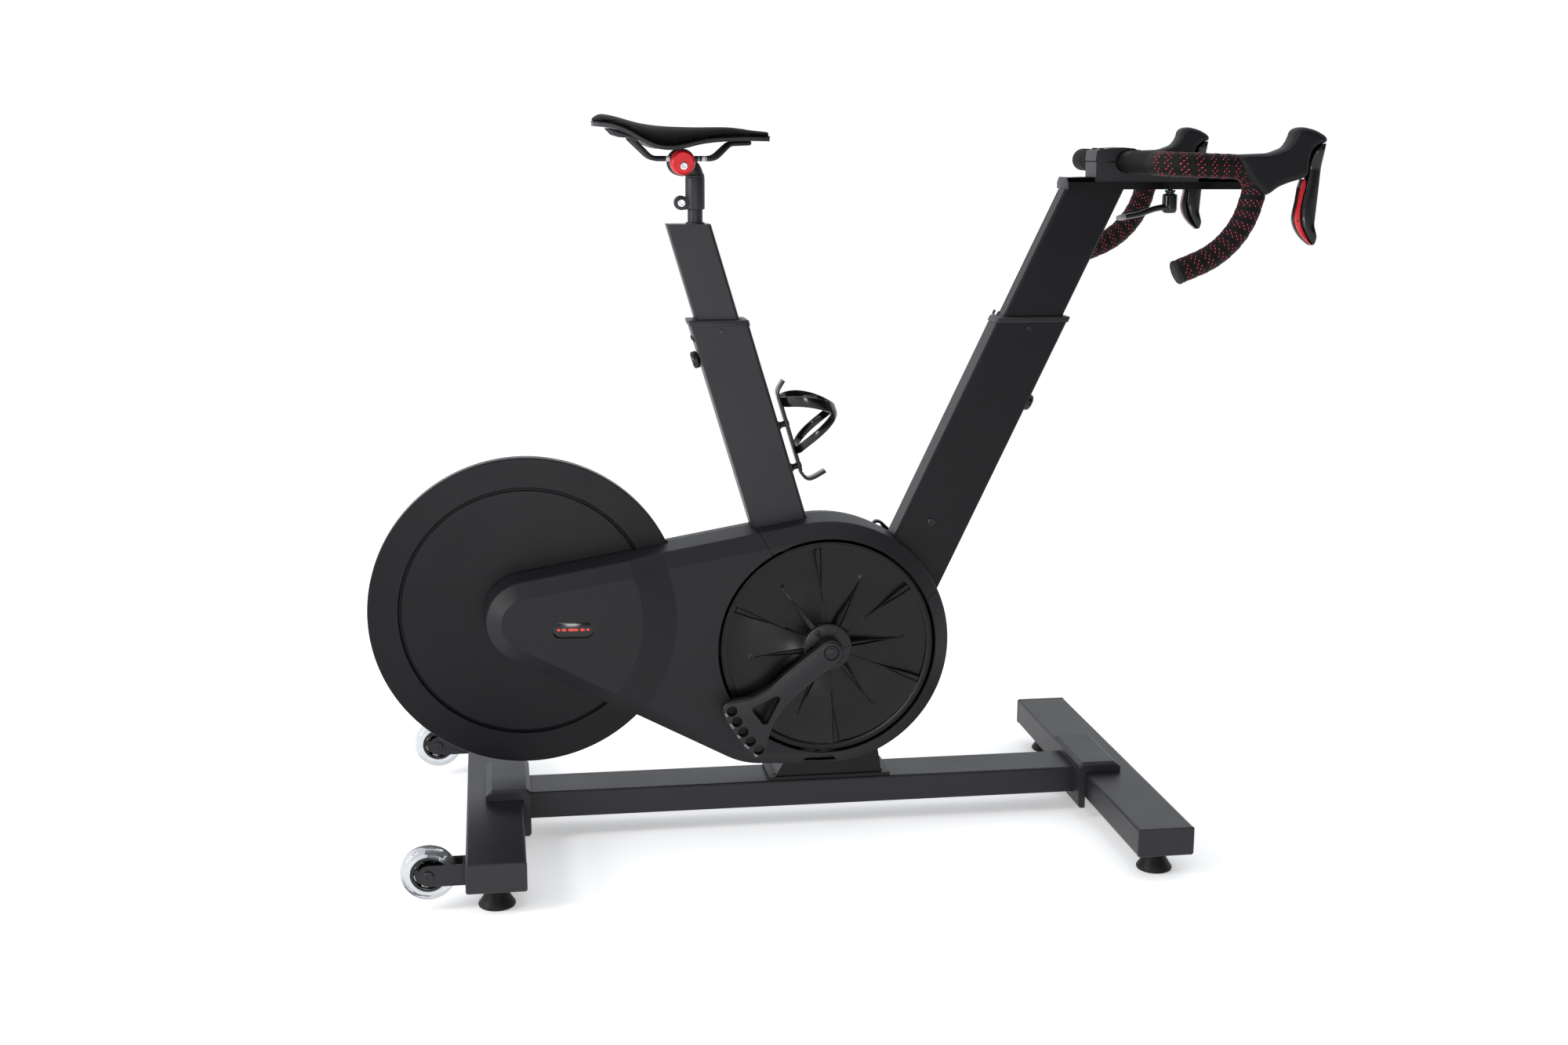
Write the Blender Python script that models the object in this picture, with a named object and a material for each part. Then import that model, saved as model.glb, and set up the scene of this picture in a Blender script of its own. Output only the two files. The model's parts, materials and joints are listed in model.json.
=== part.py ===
"""Upright exercise bike with a rear flywheel, drop handlebar and a sprung-free, bolted saddle.

Metres, +Z up, +X towards the handlebar, +Y to the rider's left, floor at z = 0.
The right (-Y) side carries the belt drive and its cover.
"""

import math

import bmesh
import bpy
from mathutils import Vector

# ---------------------------------------------------------------- driving dimensions

GAP = 0.0003            # clearance between pieces that touch or run beside each other
WALL = 0.003            # wall of the steel tubes and of the moulded covers

TUBE_HALF_WIDTH = 0.040  # base tubes, flat way
BASE_BOTTOM = 0.035
BASE_TOP = 0.075
REAR_X = -0.482
FRONT_X = 0.4366
STABILIZER_HALF = 0.306
CAP_THICKNESS = 0.004
FOOT_Y = 0.265

AXLE_Z = 0.2865          # crank axle, at x = 0
FLYWHEEL_X = -0.430
FLYWHEEL_Z = 0.338
FLYWHEEL_RADIUS = 0.223
FLYWHEEL_HALF = 0.010
RIM_INNER_RADIUS = 0.1815

DRUM = (0.0, AXLE_Z)
NOSE = (FLYWHEEL_X, FLYWHEEL_Z)
CORNER = (-0.0925, 0.2208)   # middle of the round at the covers' lower corner
DRUM_RADIUS = 0.180      # outside of the covers round the crank
NOSE_RADIUS = 0.0555     # outside of the covers round the flywheel axle
CORNER_RADIUS = 0.110
CHAMFER = 0.021
COVER_DRAFT = 0.003
COVER_SEAM = 0.0008      # gap between the two covers
FACE_FRONT_Y = 0.072     # distance of the right cover's face from the middle, at the crank
FACE_REAR_Y = 0.084      # and beside the flywheel
CHAMFER_DEPTH = 0.017
CONE_INNER = 0.162       # the face steps inwards between these radii round the flywheel axle
CONE_OUTER = 0.211
LEFT_EDGE_Y = 0.030
LEFT_FACE_Y = 0.042
SLOT_RADIUS = 0.227
SLOT_HALF = 0.0115

SEAT_POINT = (-0.1504, 0.750)    # a point (x, z) on the seat tube's centreline
SEAT_TILT = math.radians(-16.75)
COLUMN_POINT = (0.3054, 0.750)
COLUMN_TILT = math.radians(25.2)
SLEEVE_TOP = 0.748
SEAT_SLEEVE = (0.040, 0.025)     # half depth, half width
SEAT_MAST = (0.030, 0.017)
SEAT_MAST_TOP = 0.890
COLUMN_SLEEVE = (0.0475, 0.025)
FRONT_MAST = (0.040, 0.018)
FRONT_MAST_TOP = 0.9377
COLLAR_LIP = 0.0015
COLLAR_HEIGHT = 0.008
LINER_DEPTH = 0.018

POST_X = -0.182
POST_RADIUS = 0.0102
CLAMP_X = -0.2015
CLAMP_Z = 0.975
RAIL_RADIUS = 0.0035
RAIL_Y = 0.022
RAIL_Z = 0.980

BAR_X = 0.437
BAR_Z = 0.977
BAR_RADIUS = 0.0155
BAR_HALF = 0.215
BAR_CLAMP_RADIUS = 0.0162
BAR_SEGMENTS = 12
RAIL_REAR_X = 0.3516
RAIL_FRONT_X = 0.618
RAIL_BOTTOM = 0.938
RAIL_LIP_TOP = 0.948
RAIL_TOP = 0.955
LOCK_X = 0.513

PEDESTAL_NECK = (-0.048, 0.084, 0.031)   # x low, x high, half width
PEDESTAL_NECK_Z = 0.118

CRANK_ANGLE = math.radians(-138.6)
CRANK_OUTER_Y = 0.105
CRANK_INNER_Y = 0.091
SPINDLE_RADIUS = 0.012
PEDAL_HOLE_RADIUS = 0.007

PULLEY_RADIUS = 0.150
PINION_RADIUS = 0.032
BELT_THICKNESS = 0.0025

WHEEL_X = -0.5705
WHEEL_Y = 0.2724
WHEEL_Z = 0.0545
WHEEL_RADIUS = 0.038


# ---------------------------------------------------------------- scene and materials

def clear_scene():
    """Remove every object that the file opened with."""
    for obj in list(bpy.data.objects):
        bpy.data.objects.remove(obj)


def material(name, colour, roughness, metallic=0.0, alpha=1.0):
    """Return a Principled material with the given base colour."""
    mat = bpy.data.materials.new(name)
    mat.use_nodes = True
    shader = mat.node_tree.nodes["Principled BSDF"]
    shader.inputs["Base Color"].default_value = (*colour, 1.0)
    shader.inputs["Roughness"].default_value = roughness
    shader.inputs["Metallic"].default_value = metallic
    shader.inputs["Alpha"].default_value = alpha
    mat.diffuse_color = (*colour, alpha)
    return mat


def make_materials():
    """Return the finishes of the bike, by name."""
    return {
        "paint": material("black_powder_coat", (0.020, 0.020, 0.022), 0.45, 0.2),
        "housing": material("textured_black_plastic", (0.018, 0.018, 0.020), 0.50),
        "trim": material("grey_black_plastic", (0.035, 0.035, 0.038), 0.45),
        "rubber": material("black_rubber", (0.012, 0.012, 0.012), 0.75),
        "steel": material("bright_steel", (0.55, 0.55, 0.56), 0.30, 1.0),
        "alloy": material("black_alloy", (0.022, 0.022, 0.024), 0.38, 0.6),
        "clear": material("clear_urethane", (0.75, 0.78, 0.80), 0.15, 0.0, 0.5),
        "red": material("red_anodised", (0.65, 0.02, 0.03), 0.35, 0.6),
        "red_plastic": material("red_plastic", (0.70, 0.03, 0.04), 0.25),
        "gloss": material("gloss_black_plastic", (0.010, 0.010, 0.011), 0.15),
        "leather": material("black_saddle_cover", (0.014, 0.014, 0.015), 0.50),
        "tape": material("black_bar_tape", (0.016, 0.014, 0.016), 0.65),
        "pulley": material("moulded_pulley_plastic", (0.020, 0.018, 0.019), 0.35),
    }


# ---------------------------------------------------------------- geometry helpers

def loft(bm, rings, loop=False):
    """Skin rings of equal length in order; close the ends, or join the last ring to the first."""
    rows = [[bm.verts.new(point) for point in ring] for ring in rings]
    pairs = list(zip(rows, rows[1:]))
    if loop:
        pairs.append((rows[-1], rows[0]))
    count = len(rows[0])
    for lower, upper in pairs:
        for i in range(count):
            j = (i + 1) % count
            bm.faces.new((lower[i], lower[j], upper[j], upper[i]))
    if not loop:
        bm.faces.new(rows[0])
        bm.faces.new(rows[-1])


def add_object(name, bm, mat, origin=(0.0, 0.0, 0.0)):
    """Turn a bmesh drawn in world coordinates into an object whose origin is given."""
    bmesh.ops.recalc_face_normals(bm, faces=bm.faces)
    bmesh.ops.translate(bm, verts=bm.verts, vec=-Vector(origin))
    mesh = bpy.data.meshes.new(name)
    bm.to_mesh(mesh)
    bm.free()
    mesh.materials.append(mat)
    mesh.shade_smooth()
    mesh.set_sharp_from_angle(angle=math.radians(35.0))
    obj = bpy.data.objects.new(name, mesh)
    obj.location = origin
    bpy.context.collection.objects.link(obj)
    return obj


def solid(name, rings, mat, origin=(0.0, 0.0, 0.0), loop=False):
    """Make one object from a loft."""
    bm = bmesh.new()
    loft(bm, rings, loop)
    return add_object(name, bm, mat, origin)


def boolean(obj, tool, operation):
    """Join a hidden tool to an object, or cut it away."""
    tool.hide_render = True
    tool.display_type = "WIRE"
    modifier = obj.modifiers.new(tool.name, "BOOLEAN")
    modifier.operation = operation
    modifier.object = tool


def polygon_prism(outline, y_low, y_high):
    """Rings of an (x, z) outline stretched along Y."""
    return [[(x, y, z) for x, z in outline] for y in (y_low, y_high)]


def rectangle_ring(left, right, half, z):
    """Level rectangle, symmetric about y = 0."""
    return [(left, -half, z), (right, -half, z), (right, half, z), (left, half, z)]


def box_rings(low, high):
    """Rings of a plain box between two corners."""
    outline = [(low[0], low[2]), (high[0], low[2]), (high[0], high[2]), (low[0], high[2])]
    return polygon_prism(outline, low[1], high[1])


def arc(centre, radius, start, stop, steps):
    """Points (x, z) of an arc, both ends included, angles in degrees."""
    points = []
    for k in range(steps + 1):
        angle = math.radians(start + (stop - start) * k / steps)
        points.append((centre[0] + radius * math.cos(angle), centre[1] + radius * math.sin(angle)))
    return points


def rounded_rect(half_u, half_v, radius, steps=2):
    """Points of a rectangle with rounded corners, counterclockwise."""
    points = []
    for side_u, side_v, start in ((1, 1, 0), (-1, 1, 90), (-1, -1, 180), (1, -1, 270)):
        centre = (side_u * (half_u - radius), side_v * (half_v - radius))
        points += arc(centre, radius, start, start + 90, steps)
    return points


def turned_rings(profile, centre, axis, segments):
    """Rings of a turned shape: profile holds (radius, distance along the axis) pairs."""
    along = Vector(axis).normalized()
    across = along.orthogonal().normalized()
    third = along.cross(across)
    rings = []
    for radius, distance in profile:
        ring = []
        for k in range(segments):
            angle = math.tau * k / segments
            spoke = across * math.cos(angle) + third * math.sin(angle)
            ring.append(Vector(centre) + along * distance + spoke * radius)
        rings.append(ring)
    return rings


def turned(name, profile, centre, axis, segments, mat, hollow=False):
    """One turned object with its origin at the given centre; hollow joins the profile's ends."""
    rings = turned_rings(profile, centre, axis, segments)
    return solid(name, rings, mat, centre, loop=hollow)


def cylinder(name, centre, axis, radius, low, high, segments, mat):
    """A plain turned bar."""
    return turned(name, [(radius, low), (radius, high)], centre, axis, segments, mat)


def filleted_path(corners, radii, steps):
    """Points of a bent tube's centreline: straight between corners, round at each of them."""
    path = [Vector(corners[0])]
    for before, here, after, radius in zip(corners, corners[1:], corners[2:], radii):
        here = Vector(here)
        inward = (Vector(before) - here).normalized()
        outward = (Vector(after) - here).normalized()
        half = inward.angle(outward) / 2.0
        reach = radius / math.tan(half)
        centre = here + (inward + outward).normalized() * (radius / math.sin(half))
        first = (here + inward * reach - centre).normalized()
        last = (here + outward * reach - centre).normalized()
        for k in range(steps + 1):
            path.append(centre + first.slerp(last, k / steps) * radius)
    path.append(Vector(corners[-1]))
    return path


def sweep_rings(path, section, up):
    """Rings of a flat section (side, height) carried along a path, its height kept near up."""
    rings = []
    for i, point in enumerate(path):
        ahead = path[min(i + 1, len(path) - 1)] - path[max(i - 1, 0)]
        side = ahead.cross(up).normalized()
        height = side.cross(ahead).normalized()
        rings.append([point + side * a + height * b for a, b in section])
    return rings


def flat_sweep_rings(path, section):
    """Rings of a flat section carried along a path in the plane y = 0; side runs along Y."""
    rings = []
    for i, point in enumerate(path):
        ahead = (path[min(i + 1, len(path) - 1)] - path[max(i - 1, 0)]).normalized()
        side = Vector((0.0, 1.0, 0.0))
        height = side.cross(ahead)
        rings.append([point + side * a + height * b for a, b in section])
    return rings


def circle_section(radius, segments):
    """A round section for a sweep."""
    return [(radius * math.cos(math.tau * k / segments), radius * math.sin(math.tau * k / segments))
            for k in range(segments)]


def carried_rings(path, radius, segments):
    """Rings of a round tube along a path, turned as little as possible from one to the next."""
    rings = []
    side = None
    for i, point in enumerate(path):
        ahead = (path[min(i + 1, len(path) - 1)] - path[max(i - 1, 0)]).normalized()
        side = ahead.orthogonal() if side is None else side - ahead * side.dot(ahead)
        side.normalize()
        height = ahead.cross(side)
        rings.append([point + side * a + height * b for a, b in circle_section(radius, segments)])
    return rings


# ---------------------------------------------------------------- slanted tubes

def mast_frame(point, tilt):
    """Origin, direction and across vector of a slanted mast, in the plane y = 0."""
    origin = Vector((point[0], 0.0, point[1]))
    along = Vector((math.sin(tilt), 0.0, math.cos(tilt)))
    across = Vector((math.cos(tilt), 0.0, -math.sin(tilt)))
    return origin, along, across


def level_ring(frame, half, z, radius=0.004):
    """Section of a slanted tube cut level at height z."""
    origin, along, across = frame
    ring = []
    for u, v in rounded_rect(half[0], half[1], radius):
        distance = (z - origin.z - across.z * u) / along.z
        ring.append(origin + along * distance + across * u + Vector((0.0, v, 0.0)))
    return ring


def square_ring(frame, half, z, radius=0.004):
    """Section of a slanted tube cut square where its centreline is at height z."""
    origin, along, across = frame
    distance = (z - origin.z) / along.z
    return [origin + along * distance + across * u + Vector((0.0, v, 0.0))
            for u, v in rounded_rect(half[0], half[1], radius)]


def shrink(half, amount):
    """Smaller half sizes of a section."""
    return half[0] - amount, half[1] - amount


def on_mast(frame, z, u, v=0.0):
    """A point of a mast's frame: its centreline at height z, then u across and v sideways."""
    origin, along, across = frame
    return origin + along * ((z - origin.z) / along.z) + across * u + Vector((0.0, v, 0.0))


SEAT = mast_frame(SEAT_POINT, SEAT_TILT)
COLUMN = mast_frame(COLUMN_POINT, COLUMN_TILT)
SEAT_STUB_Z = 0.330
COLUMN_STUB_Z = 0.345


def sleeve(name, frame, half, bottom, mat):
    """Outer tube of a mast, open at both ends, square at the bottom and level on top."""
    inner = shrink(half, WALL)
    return solid(name, [square_ring(frame, half, bottom), level_ring(frame, half, SLEEVE_TOP),
                        level_ring(frame, inner, SLEEVE_TOP), square_ring(frame, inner, bottom)],
                 mat, loop=True)


def mast(name, frame, half, bottom, top, mat):
    """Sliding inner tube: open at the bottom, closed with a level plate on top."""
    inner = shrink(half, WALL)
    return solid(name, [level_ring(frame, half, top), square_ring(frame, half, bottom),
                        square_ring(frame, inner, bottom), level_ring(frame, inner, top - 0.004)],
                 mat, origin=tuple(on_mast(frame, top, 0.0)))


def collar(name, frame, outer, inner, mat):
    """Plastic bush: a lip that rests on the sleeve and a liner that guides the mast."""
    lip = shrink(outer, -COLLAR_LIP)
    liner = shrink(outer, WALL + GAP)
    bore = shrink(inner, -GAP)
    low = SLEEVE_TOP + GAP
    top = low + COLLAR_HEIGHT
    return solid(name, [level_ring(frame, lip, low), level_ring(frame, lip, top - 0.0015),
                        level_ring(frame, shrink(lip, 0.0015), top), level_ring(frame, bore, top),
                        level_ring(frame, bore, low - LINER_DEPTH),
                        level_ring(frame, liner, low - LINER_DEPTH), level_ring(frame, liner, low)],
                 mat, loop=True)


def clamp_knob(name, frame, half, mast_half, z, side, mat):
    """Round clamp knob whose stud passes through the sleeve's wall and presses on the mast."""
    across = frame[2] * side
    face = on_mast(frame, z, side * half[0])
    profile = [(0.003, mast_half[0] + GAP - half[0]), (0.003, 0.0008), (0.010, 0.0008), (0.0125, 0.003),
               (0.0125, 0.009), (0.010, 0.0115)]
    return turned(name, profile, tuple(face), tuple(across), 20, mat)


def knob_hole(sleeve_obj, frame, half, z, side, mat):
    """Hole in the sleeve for the knob's stud."""
    centre = tuple(on_mast(frame, z, side * half[0]))
    tool = cylinder(sleeve_obj.name + "_knob_hole", centre, tuple(frame[2]), 0.0034, -0.02, 0.02,
                    12, mat)
    boolean(sleeve_obj, tool, "DIFFERENCE")


# ---------------------------------------------------------------- base

def base_beam(mats):
    """Flat tube that joins the two stabilizers."""
    low = REAR_X + TUBE_HALF_WIDTH + GAP
    high = FRONT_X - TUBE_HALF_WIDTH - GAP
    mid_z = (BASE_BOTTOM + BASE_TOP) / 2
    half_height = (BASE_TOP - BASE_BOTTOM) / 2
    rings = []
    for x, cut in ((low, 0.0), (high, 0.0), (high, WALL), (low, WALL)):
        section = rounded_rect(TUBE_HALF_WIDTH - cut, half_height - cut, 0.003)
        rings.append([(x, y, mid_z + z) for y, z in section])
    solid("base_beam", rings, mats["paint"], loop=True)


def stabilizer(name, x, mats):
    """Cross tube with a hole in its floor for each levelling foot."""
    mid_z = (BASE_BOTTOM + BASE_TOP) / 2
    half_height = (BASE_TOP - BASE_BOTTOM) / 2
    rings = []
    for y, cut in ((-1, 0.0), (1, 0.0), (1, WALL), (-1, WALL)):
        section = rounded_rect(TUBE_HALF_WIDTH - cut, half_height - cut, 0.003)
        rings.append([(x + u, y * STABILIZER_HALF, mid_z + z) for u, z in section])
    tube = solid(name, rings, mats["paint"], loop=True)
    for side in (-1, 1):
        tool = cylinder(f"{name}_foot_hole_{side}", (x, side * FOOT_Y, BASE_BOTTOM), (0, 0, 1),
                        0.0046, -0.01, 0.01, 16, mats["paint"])
        boolean(tube, tool, "DIFFERENCE")


def end_cap(name, x, side, mats):
    """Plastic cap with a plug that fits inside the stabilizer."""
    mid_z = (BASE_BOTTOM + BASE_TOP) / 2
    half_height = (BASE_TOP - BASE_BOTTOM) / 2
    plug = WALL + GAP
    steps = ((STABILIZER_HALF - 0.018, plug), (STABILIZER_HALF + GAP, plug),
             (STABILIZER_HALF + GAP, -0.0004), (STABILIZER_HALF + CAP_THICKNESS - 0.001, -0.0004),
             (STABILIZER_HALF + CAP_THICKNESS, 0.0008))
    rings = []
    for y, cut in steps:
        section = rounded_rect(TUBE_HALF_WIDTH - cut, half_height - cut, 0.003)
        rings.append([(x + u, side * y, mid_z + z) for u, z in section])
    solid(name, rings, mats["trim"])


def levelling_foot(name, x, side, mats):
    """Flared rubber foot on a threaded stud."""
    profile = [(0.0235, 0.0), (0.025, 0.003), (0.0155, 0.018), (0.011, 0.0345), (0.004, 0.0345),
               (0.004, 0.062)]
    turned(name, profile, (x, side * FOOT_Y, 0.0), (0, 0, 1), 24, mats["rubber"])


def joint_cover(name, x, inward, mats):
    """Angled cover over the joint of the beam and a stabilizer; inward is +1 or -1 along X."""
    inner = inward * (TUBE_HALF_WIDTH + GAP)
    top = BASE_TOP + 0.016
    edge = inner - inward * 0.0535
    outer = inner + inward * 0.0105
    outline = [(edge, BASE_TOP + GAP), (edge, BASE_TOP + 0.008), (edge + inward * 0.009, top),
               (outer - inward * 0.006, top), (outer, top - 0.005), (outer, 0.024),
               (outer - inward * 0.003, 0.020), (inner, 0.020), (inner, BASE_TOP + GAP)]
    rings = []
    for y, cut in ((-0.070, 1), (-0.066, 0), (0.066, 0), (0.070, 1)):
        ring = []
        for u, z in outline:
            lowered = z - 0.004 * cut if z > BASE_TOP + 0.010 else z
            ring.append((x + u, y, lowered))
        rings.append(ring)
    cover = solid(name, rings, mats["trim"])
    clear = TUBE_HALF_WIDTH + GAP
    reach = sorted((x + inner - inward * 0.001, x + outer + inward * 0.02))
    tool = solid(name + "_beam_cut", box_rings((reach[0], -clear, BASE_BOTTOM - GAP),
                                               (reach[1], clear, BASE_TOP + GAP)), mats["trim"])
    boolean(cover, tool, "DIFFERENCE")


def wheel_bracket(name, side, mats):
    """Two ears on a back plate, with the pin that the transport wheel turns on."""
    back = REAR_X - TUBE_HALF_WIDTH - GAP
    half_height = 0.0145
    ear = [(back, WHEEL_Z + half_height)]
    ear += arc((WHEEL_X, WHEEL_Z), half_height, 90, 270, 8)
    ear += [(back, WHEEL_Z - half_height)]
    mid = side * WHEEL_Y
    plate = solid(name, box_rings((back - WALL, mid - 0.0167, WHEEL_Z - half_height),
                                  (back, mid + 0.0167, WHEEL_Z + half_height)), mats["paint"])
    inset = 0.001
    ear = [(min(px, back - inset), pz) for px, pz in ear]
    for k, y in ((0, -0.0167), (1, 0.0137)):
        tool = solid(f"{name}_ear_{k}", polygon_prism(ear, mid + y, mid + y + WALL), mats["paint"])
        boolean(plate, tool, "UNION")
    pin = cylinder(name + "_pin", (WHEEL_X, mid, WHEEL_Z), (0, 1, 0), 0.004, -0.0195, 0.0195, 12,
                   mats["paint"])
    boolean(plate, pin, "UNION")


def transport_wheel(side_name, side, mats):
    """Clear tyre and dark hub of one transport wheel."""
    centre = (WHEEL_X, side * WHEEL_Y, WHEEL_Z)
    tyre = [(0.0240, -0.010), (0.0300, -0.012), (0.0358, -0.008), (WHEEL_RADIUS, 0.0),
            (0.0358, 0.008), (0.0300, 0.012), (0.0240, 0.010)]
    turned("wheel_tyre_" + side_name, tyre, centre, (0, 1, 0), 32, mats["clear"], hollow=True)
    hub = [(0.0043, -0.0125), (0.0090, -0.0125), (0.0110, -0.0080), (0.0200, -0.0080),
           (0.0237, -0.0095), (0.0237, 0.0095), (0.0200, 0.0080), (0.0110, 0.0080),
           (0.0090, 0.0125), (0.0043, 0.0125)]
    turned("wheel_hub_" + side_name, hub, centre, (0, 1, 0), 24, mats["housing"], hollow=True)


# ---------------------------------------------------------------- frame

def main_frame(mats):
    """Pedestal, bottom bracket shell and the stubs that carry both masts, welded together."""
    seat_left = on_mast(SEAT, SEAT_STUB_Z, -SEAT_SLEEVE[0])
    seat_right = on_mast(SEAT, SEAT_STUB_Z, SEAT_SLEEVE[0])
    column_left = on_mast(COLUMN, COLUMN_STUB_Z, -COLUMN_SLEEVE[0])
    column_right = on_mast(COLUMN, COLUMN_STUB_Z, COLUMN_SLEEVE[0])
    lowered = 0.0006
    outline = [(-0.046, 0.155), (0.082, 0.155)]
    outline += [(p.x, p.z - lowered) for p in (column_right, column_left, seat_right, seat_left)]
    block = solid("main_frame", polygon_prism(outline, -0.025, 0.025), mats["paint"])
    low = BASE_TOP + GAP
    foot = [rectangle_ring(-0.080, 0.102, 0.038, low), rectangle_ring(-0.080, 0.102, 0.038, low + 0.005),
            rectangle_ring(-0.070, 0.090, 0.034, low + 0.005)]
    foot += [rectangle_ring(*PEDESTAL_NECK, z) for z in (PEDESTAL_NECK_Z, 0.165)]
    boolean(block, solid("main_frame_pedestal", foot, mats["paint"]), "UNION")
    axle = (0.0, 0.0, AXLE_Z)
    shell = cylinder("main_frame_shell", axle, (0, 1, 0), 0.024, -0.038, 0.038, 28, mats["paint"])
    boolean(block, shell, "UNION")
    for name, x_low, x_high, z_high in (("front", 0.030, 0.078, 0.300), ("rear", -0.040, 0.020, 0.245)):
        hollow = solid("main_frame_hollow_" + name,
                       box_rings((x_low, -0.021, 0.060), (x_high, 0.021, z_high)), mats["paint"])
        boolean(block, hollow, "DIFFERENCE")
    bore = cylinder("main_frame_bore", axle, (0, 1, 0), 0.0203, -0.06, 0.06, 28, mats["paint"])
    boolean(block, bore, "DIFFERENCE")


def fork_arm(name, side, mats):
    """Plate bolted to the side of the frame that carries the flywheel's shaft."""
    ends = (((-0.058, 0.287), 0.031, 10), (NOSE, 0.024, 10))
    outline = belt_outline(ends, (1, 1))
    inner, outer = sorted((side * 0.0253, side * 0.0313))
    arm = solid(name, polygon_prism(outline, inner, outer), mats["paint"])
    tool = cylinder(name + "_shaft_hole", (FLYWHEEL_X, 0.0, FLYWHEEL_Z), (0, 1, 0), 0.0089,
                    min(0.0, side * 0.05), max(0.0, side * 0.05), 20, mats["paint"])
    boolean(arm, tool, "DIFFERENCE")


def belt_outline(circles, line_steps):
    """Outline in XZ round (centre, radius, steps) circles, counterclockwise, from the first arc."""
    normals = []
    for (here, radius, _), (after, next_radius, _) in zip(circles, circles[1:] + circles[:1]):
        dx = after[0] - here[0]
        dz = after[1] - here[1]
        lean = math.degrees(math.atan2(dz, dx))
        spread = math.degrees(math.asin((radius - next_radius) / math.hypot(dx, dz)))
        normals.append(lean - 90.0 + spread)
    arcs = []
    for (centre, radius, steps), start, stop in zip(circles, normals[-1:] + normals[:-1], normals):
        arcs.append(arc(centre, radius, start, start + (stop - start) % 360.0, steps))
    points = []
    for here, after, steps in zip(arcs, arcs[1:] + arcs[:1], line_steps):
        points += here + straight(here[-1], after[0], steps)
    return points


def straight(start, stop, steps):
    """Points strictly between two (x, z) points."""
    return [(start[0] + (stop[0] - start[0]) * k / steps, start[1] + (stop[1] - start[1]) * k / steps)
            for k in range(1, steps)]


# ---------------------------------------------------------------- drive covers

FRONT_STEPS = 36
NOSE_STEPS = 8
CORNER_STEPS = 4
COVER_LINE_STEPS = (10, 8, 4)


def cover_outline(offset):
    """Outline of the drive covers, grown or shrunk by an offset."""
    circles = ((DRUM, DRUM_RADIUS + offset, FRONT_STEPS), (NOSE, NOSE_RADIUS + offset, NOSE_STEPS),
               (CORNER, CORNER_RADIUS + offset, CORNER_STEPS))
    return belt_outline(circles, COVER_LINE_STEPS)


def face_depth(x, z):
    """Distance of the right cover's face from the middle: it steps out beside the flywheel."""
    distance = math.hypot(x - FLYWHEEL_X, z - FLYWHEEL_Z)
    share = min(1.0, max(0.0, (distance - CONE_INNER) / (CONE_OUTER - CONE_INNER)))
    return FACE_REAR_Y + (FACE_FRONT_Y - FACE_REAR_Y) * share


def shell_object(name, bm, outward, mats):
    """Give an open skin its thickness; outward is the Y sign of the face that is seen."""
    bmesh.ops.remove_doubles(bm, verts=bm.verts, dist=0.00001)
    bmesh.ops.recalc_face_normals(bm, faces=bm.faces)
    outermost = max(bm.faces, key=lambda face: outward * face.calc_center_median().y)
    if outermost.normal.y * outward < 0.0:
        bmesh.ops.reverse_faces(bm, faces=bm.faces)
    mesh = bpy.data.meshes.new(name)
    bm.to_mesh(mesh)
    bm.free()
    mesh.materials.append(mats["housing"])
    mesh.shade_smooth()
    mesh.set_sharp_from_angle(angle=math.radians(35.0))
    obj = bpy.data.objects.new(name, mesh)
    bpy.context.collection.objects.link(obj)
    thicken = obj.modifiers.new("wall", "SOLIDIFY")
    thicken.thickness = WALL
    thicken.offset = -1.0
    return obj


def cut_cover(cover, mats):
    """Openings where the masts, the pedestal and the flywheel pass through a drive cover."""
    clear = 0.0008
    for key, frame, half in (("seat", SEAT, SEAT_SLEEVE), ("column", COLUMN, COLUMN_SLEEVE)):
        grown = shrink(half, -clear)
        rings = [square_ring(frame, grown, 0.30), square_ring(frame, grown, 0.60)]
        boolean(cover, solid(f"{cover.name}_{key}_cut", rings, mats["housing"]), "DIFFERENCE")
    left, right, half = PEDESTAL_NECK
    pedestal = [rectangle_ring(left - 0.028, right + 0.012, half + 0.005, 0.070),
                rectangle_ring(left - clear, right + clear, half + clear, PEDESTAL_NECK_Z),
                rectangle_ring(left - clear, right + clear, half + clear, 0.165)]
    boolean(cover, solid(cover.name + "_pedestal_cut", pedestal, mats["housing"]), "DIFFERENCE")
    slot = cylinder(cover.name + "_flywheel_slot", (FLYWHEEL_X, 0.0, FLYWHEEL_Z), (0, 1, 0),
                    SLOT_RADIUS, -SLOT_HALF, SLOT_HALF, 72, mats["housing"])
    boolean(cover, slot, "DIFFERENCE")


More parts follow.
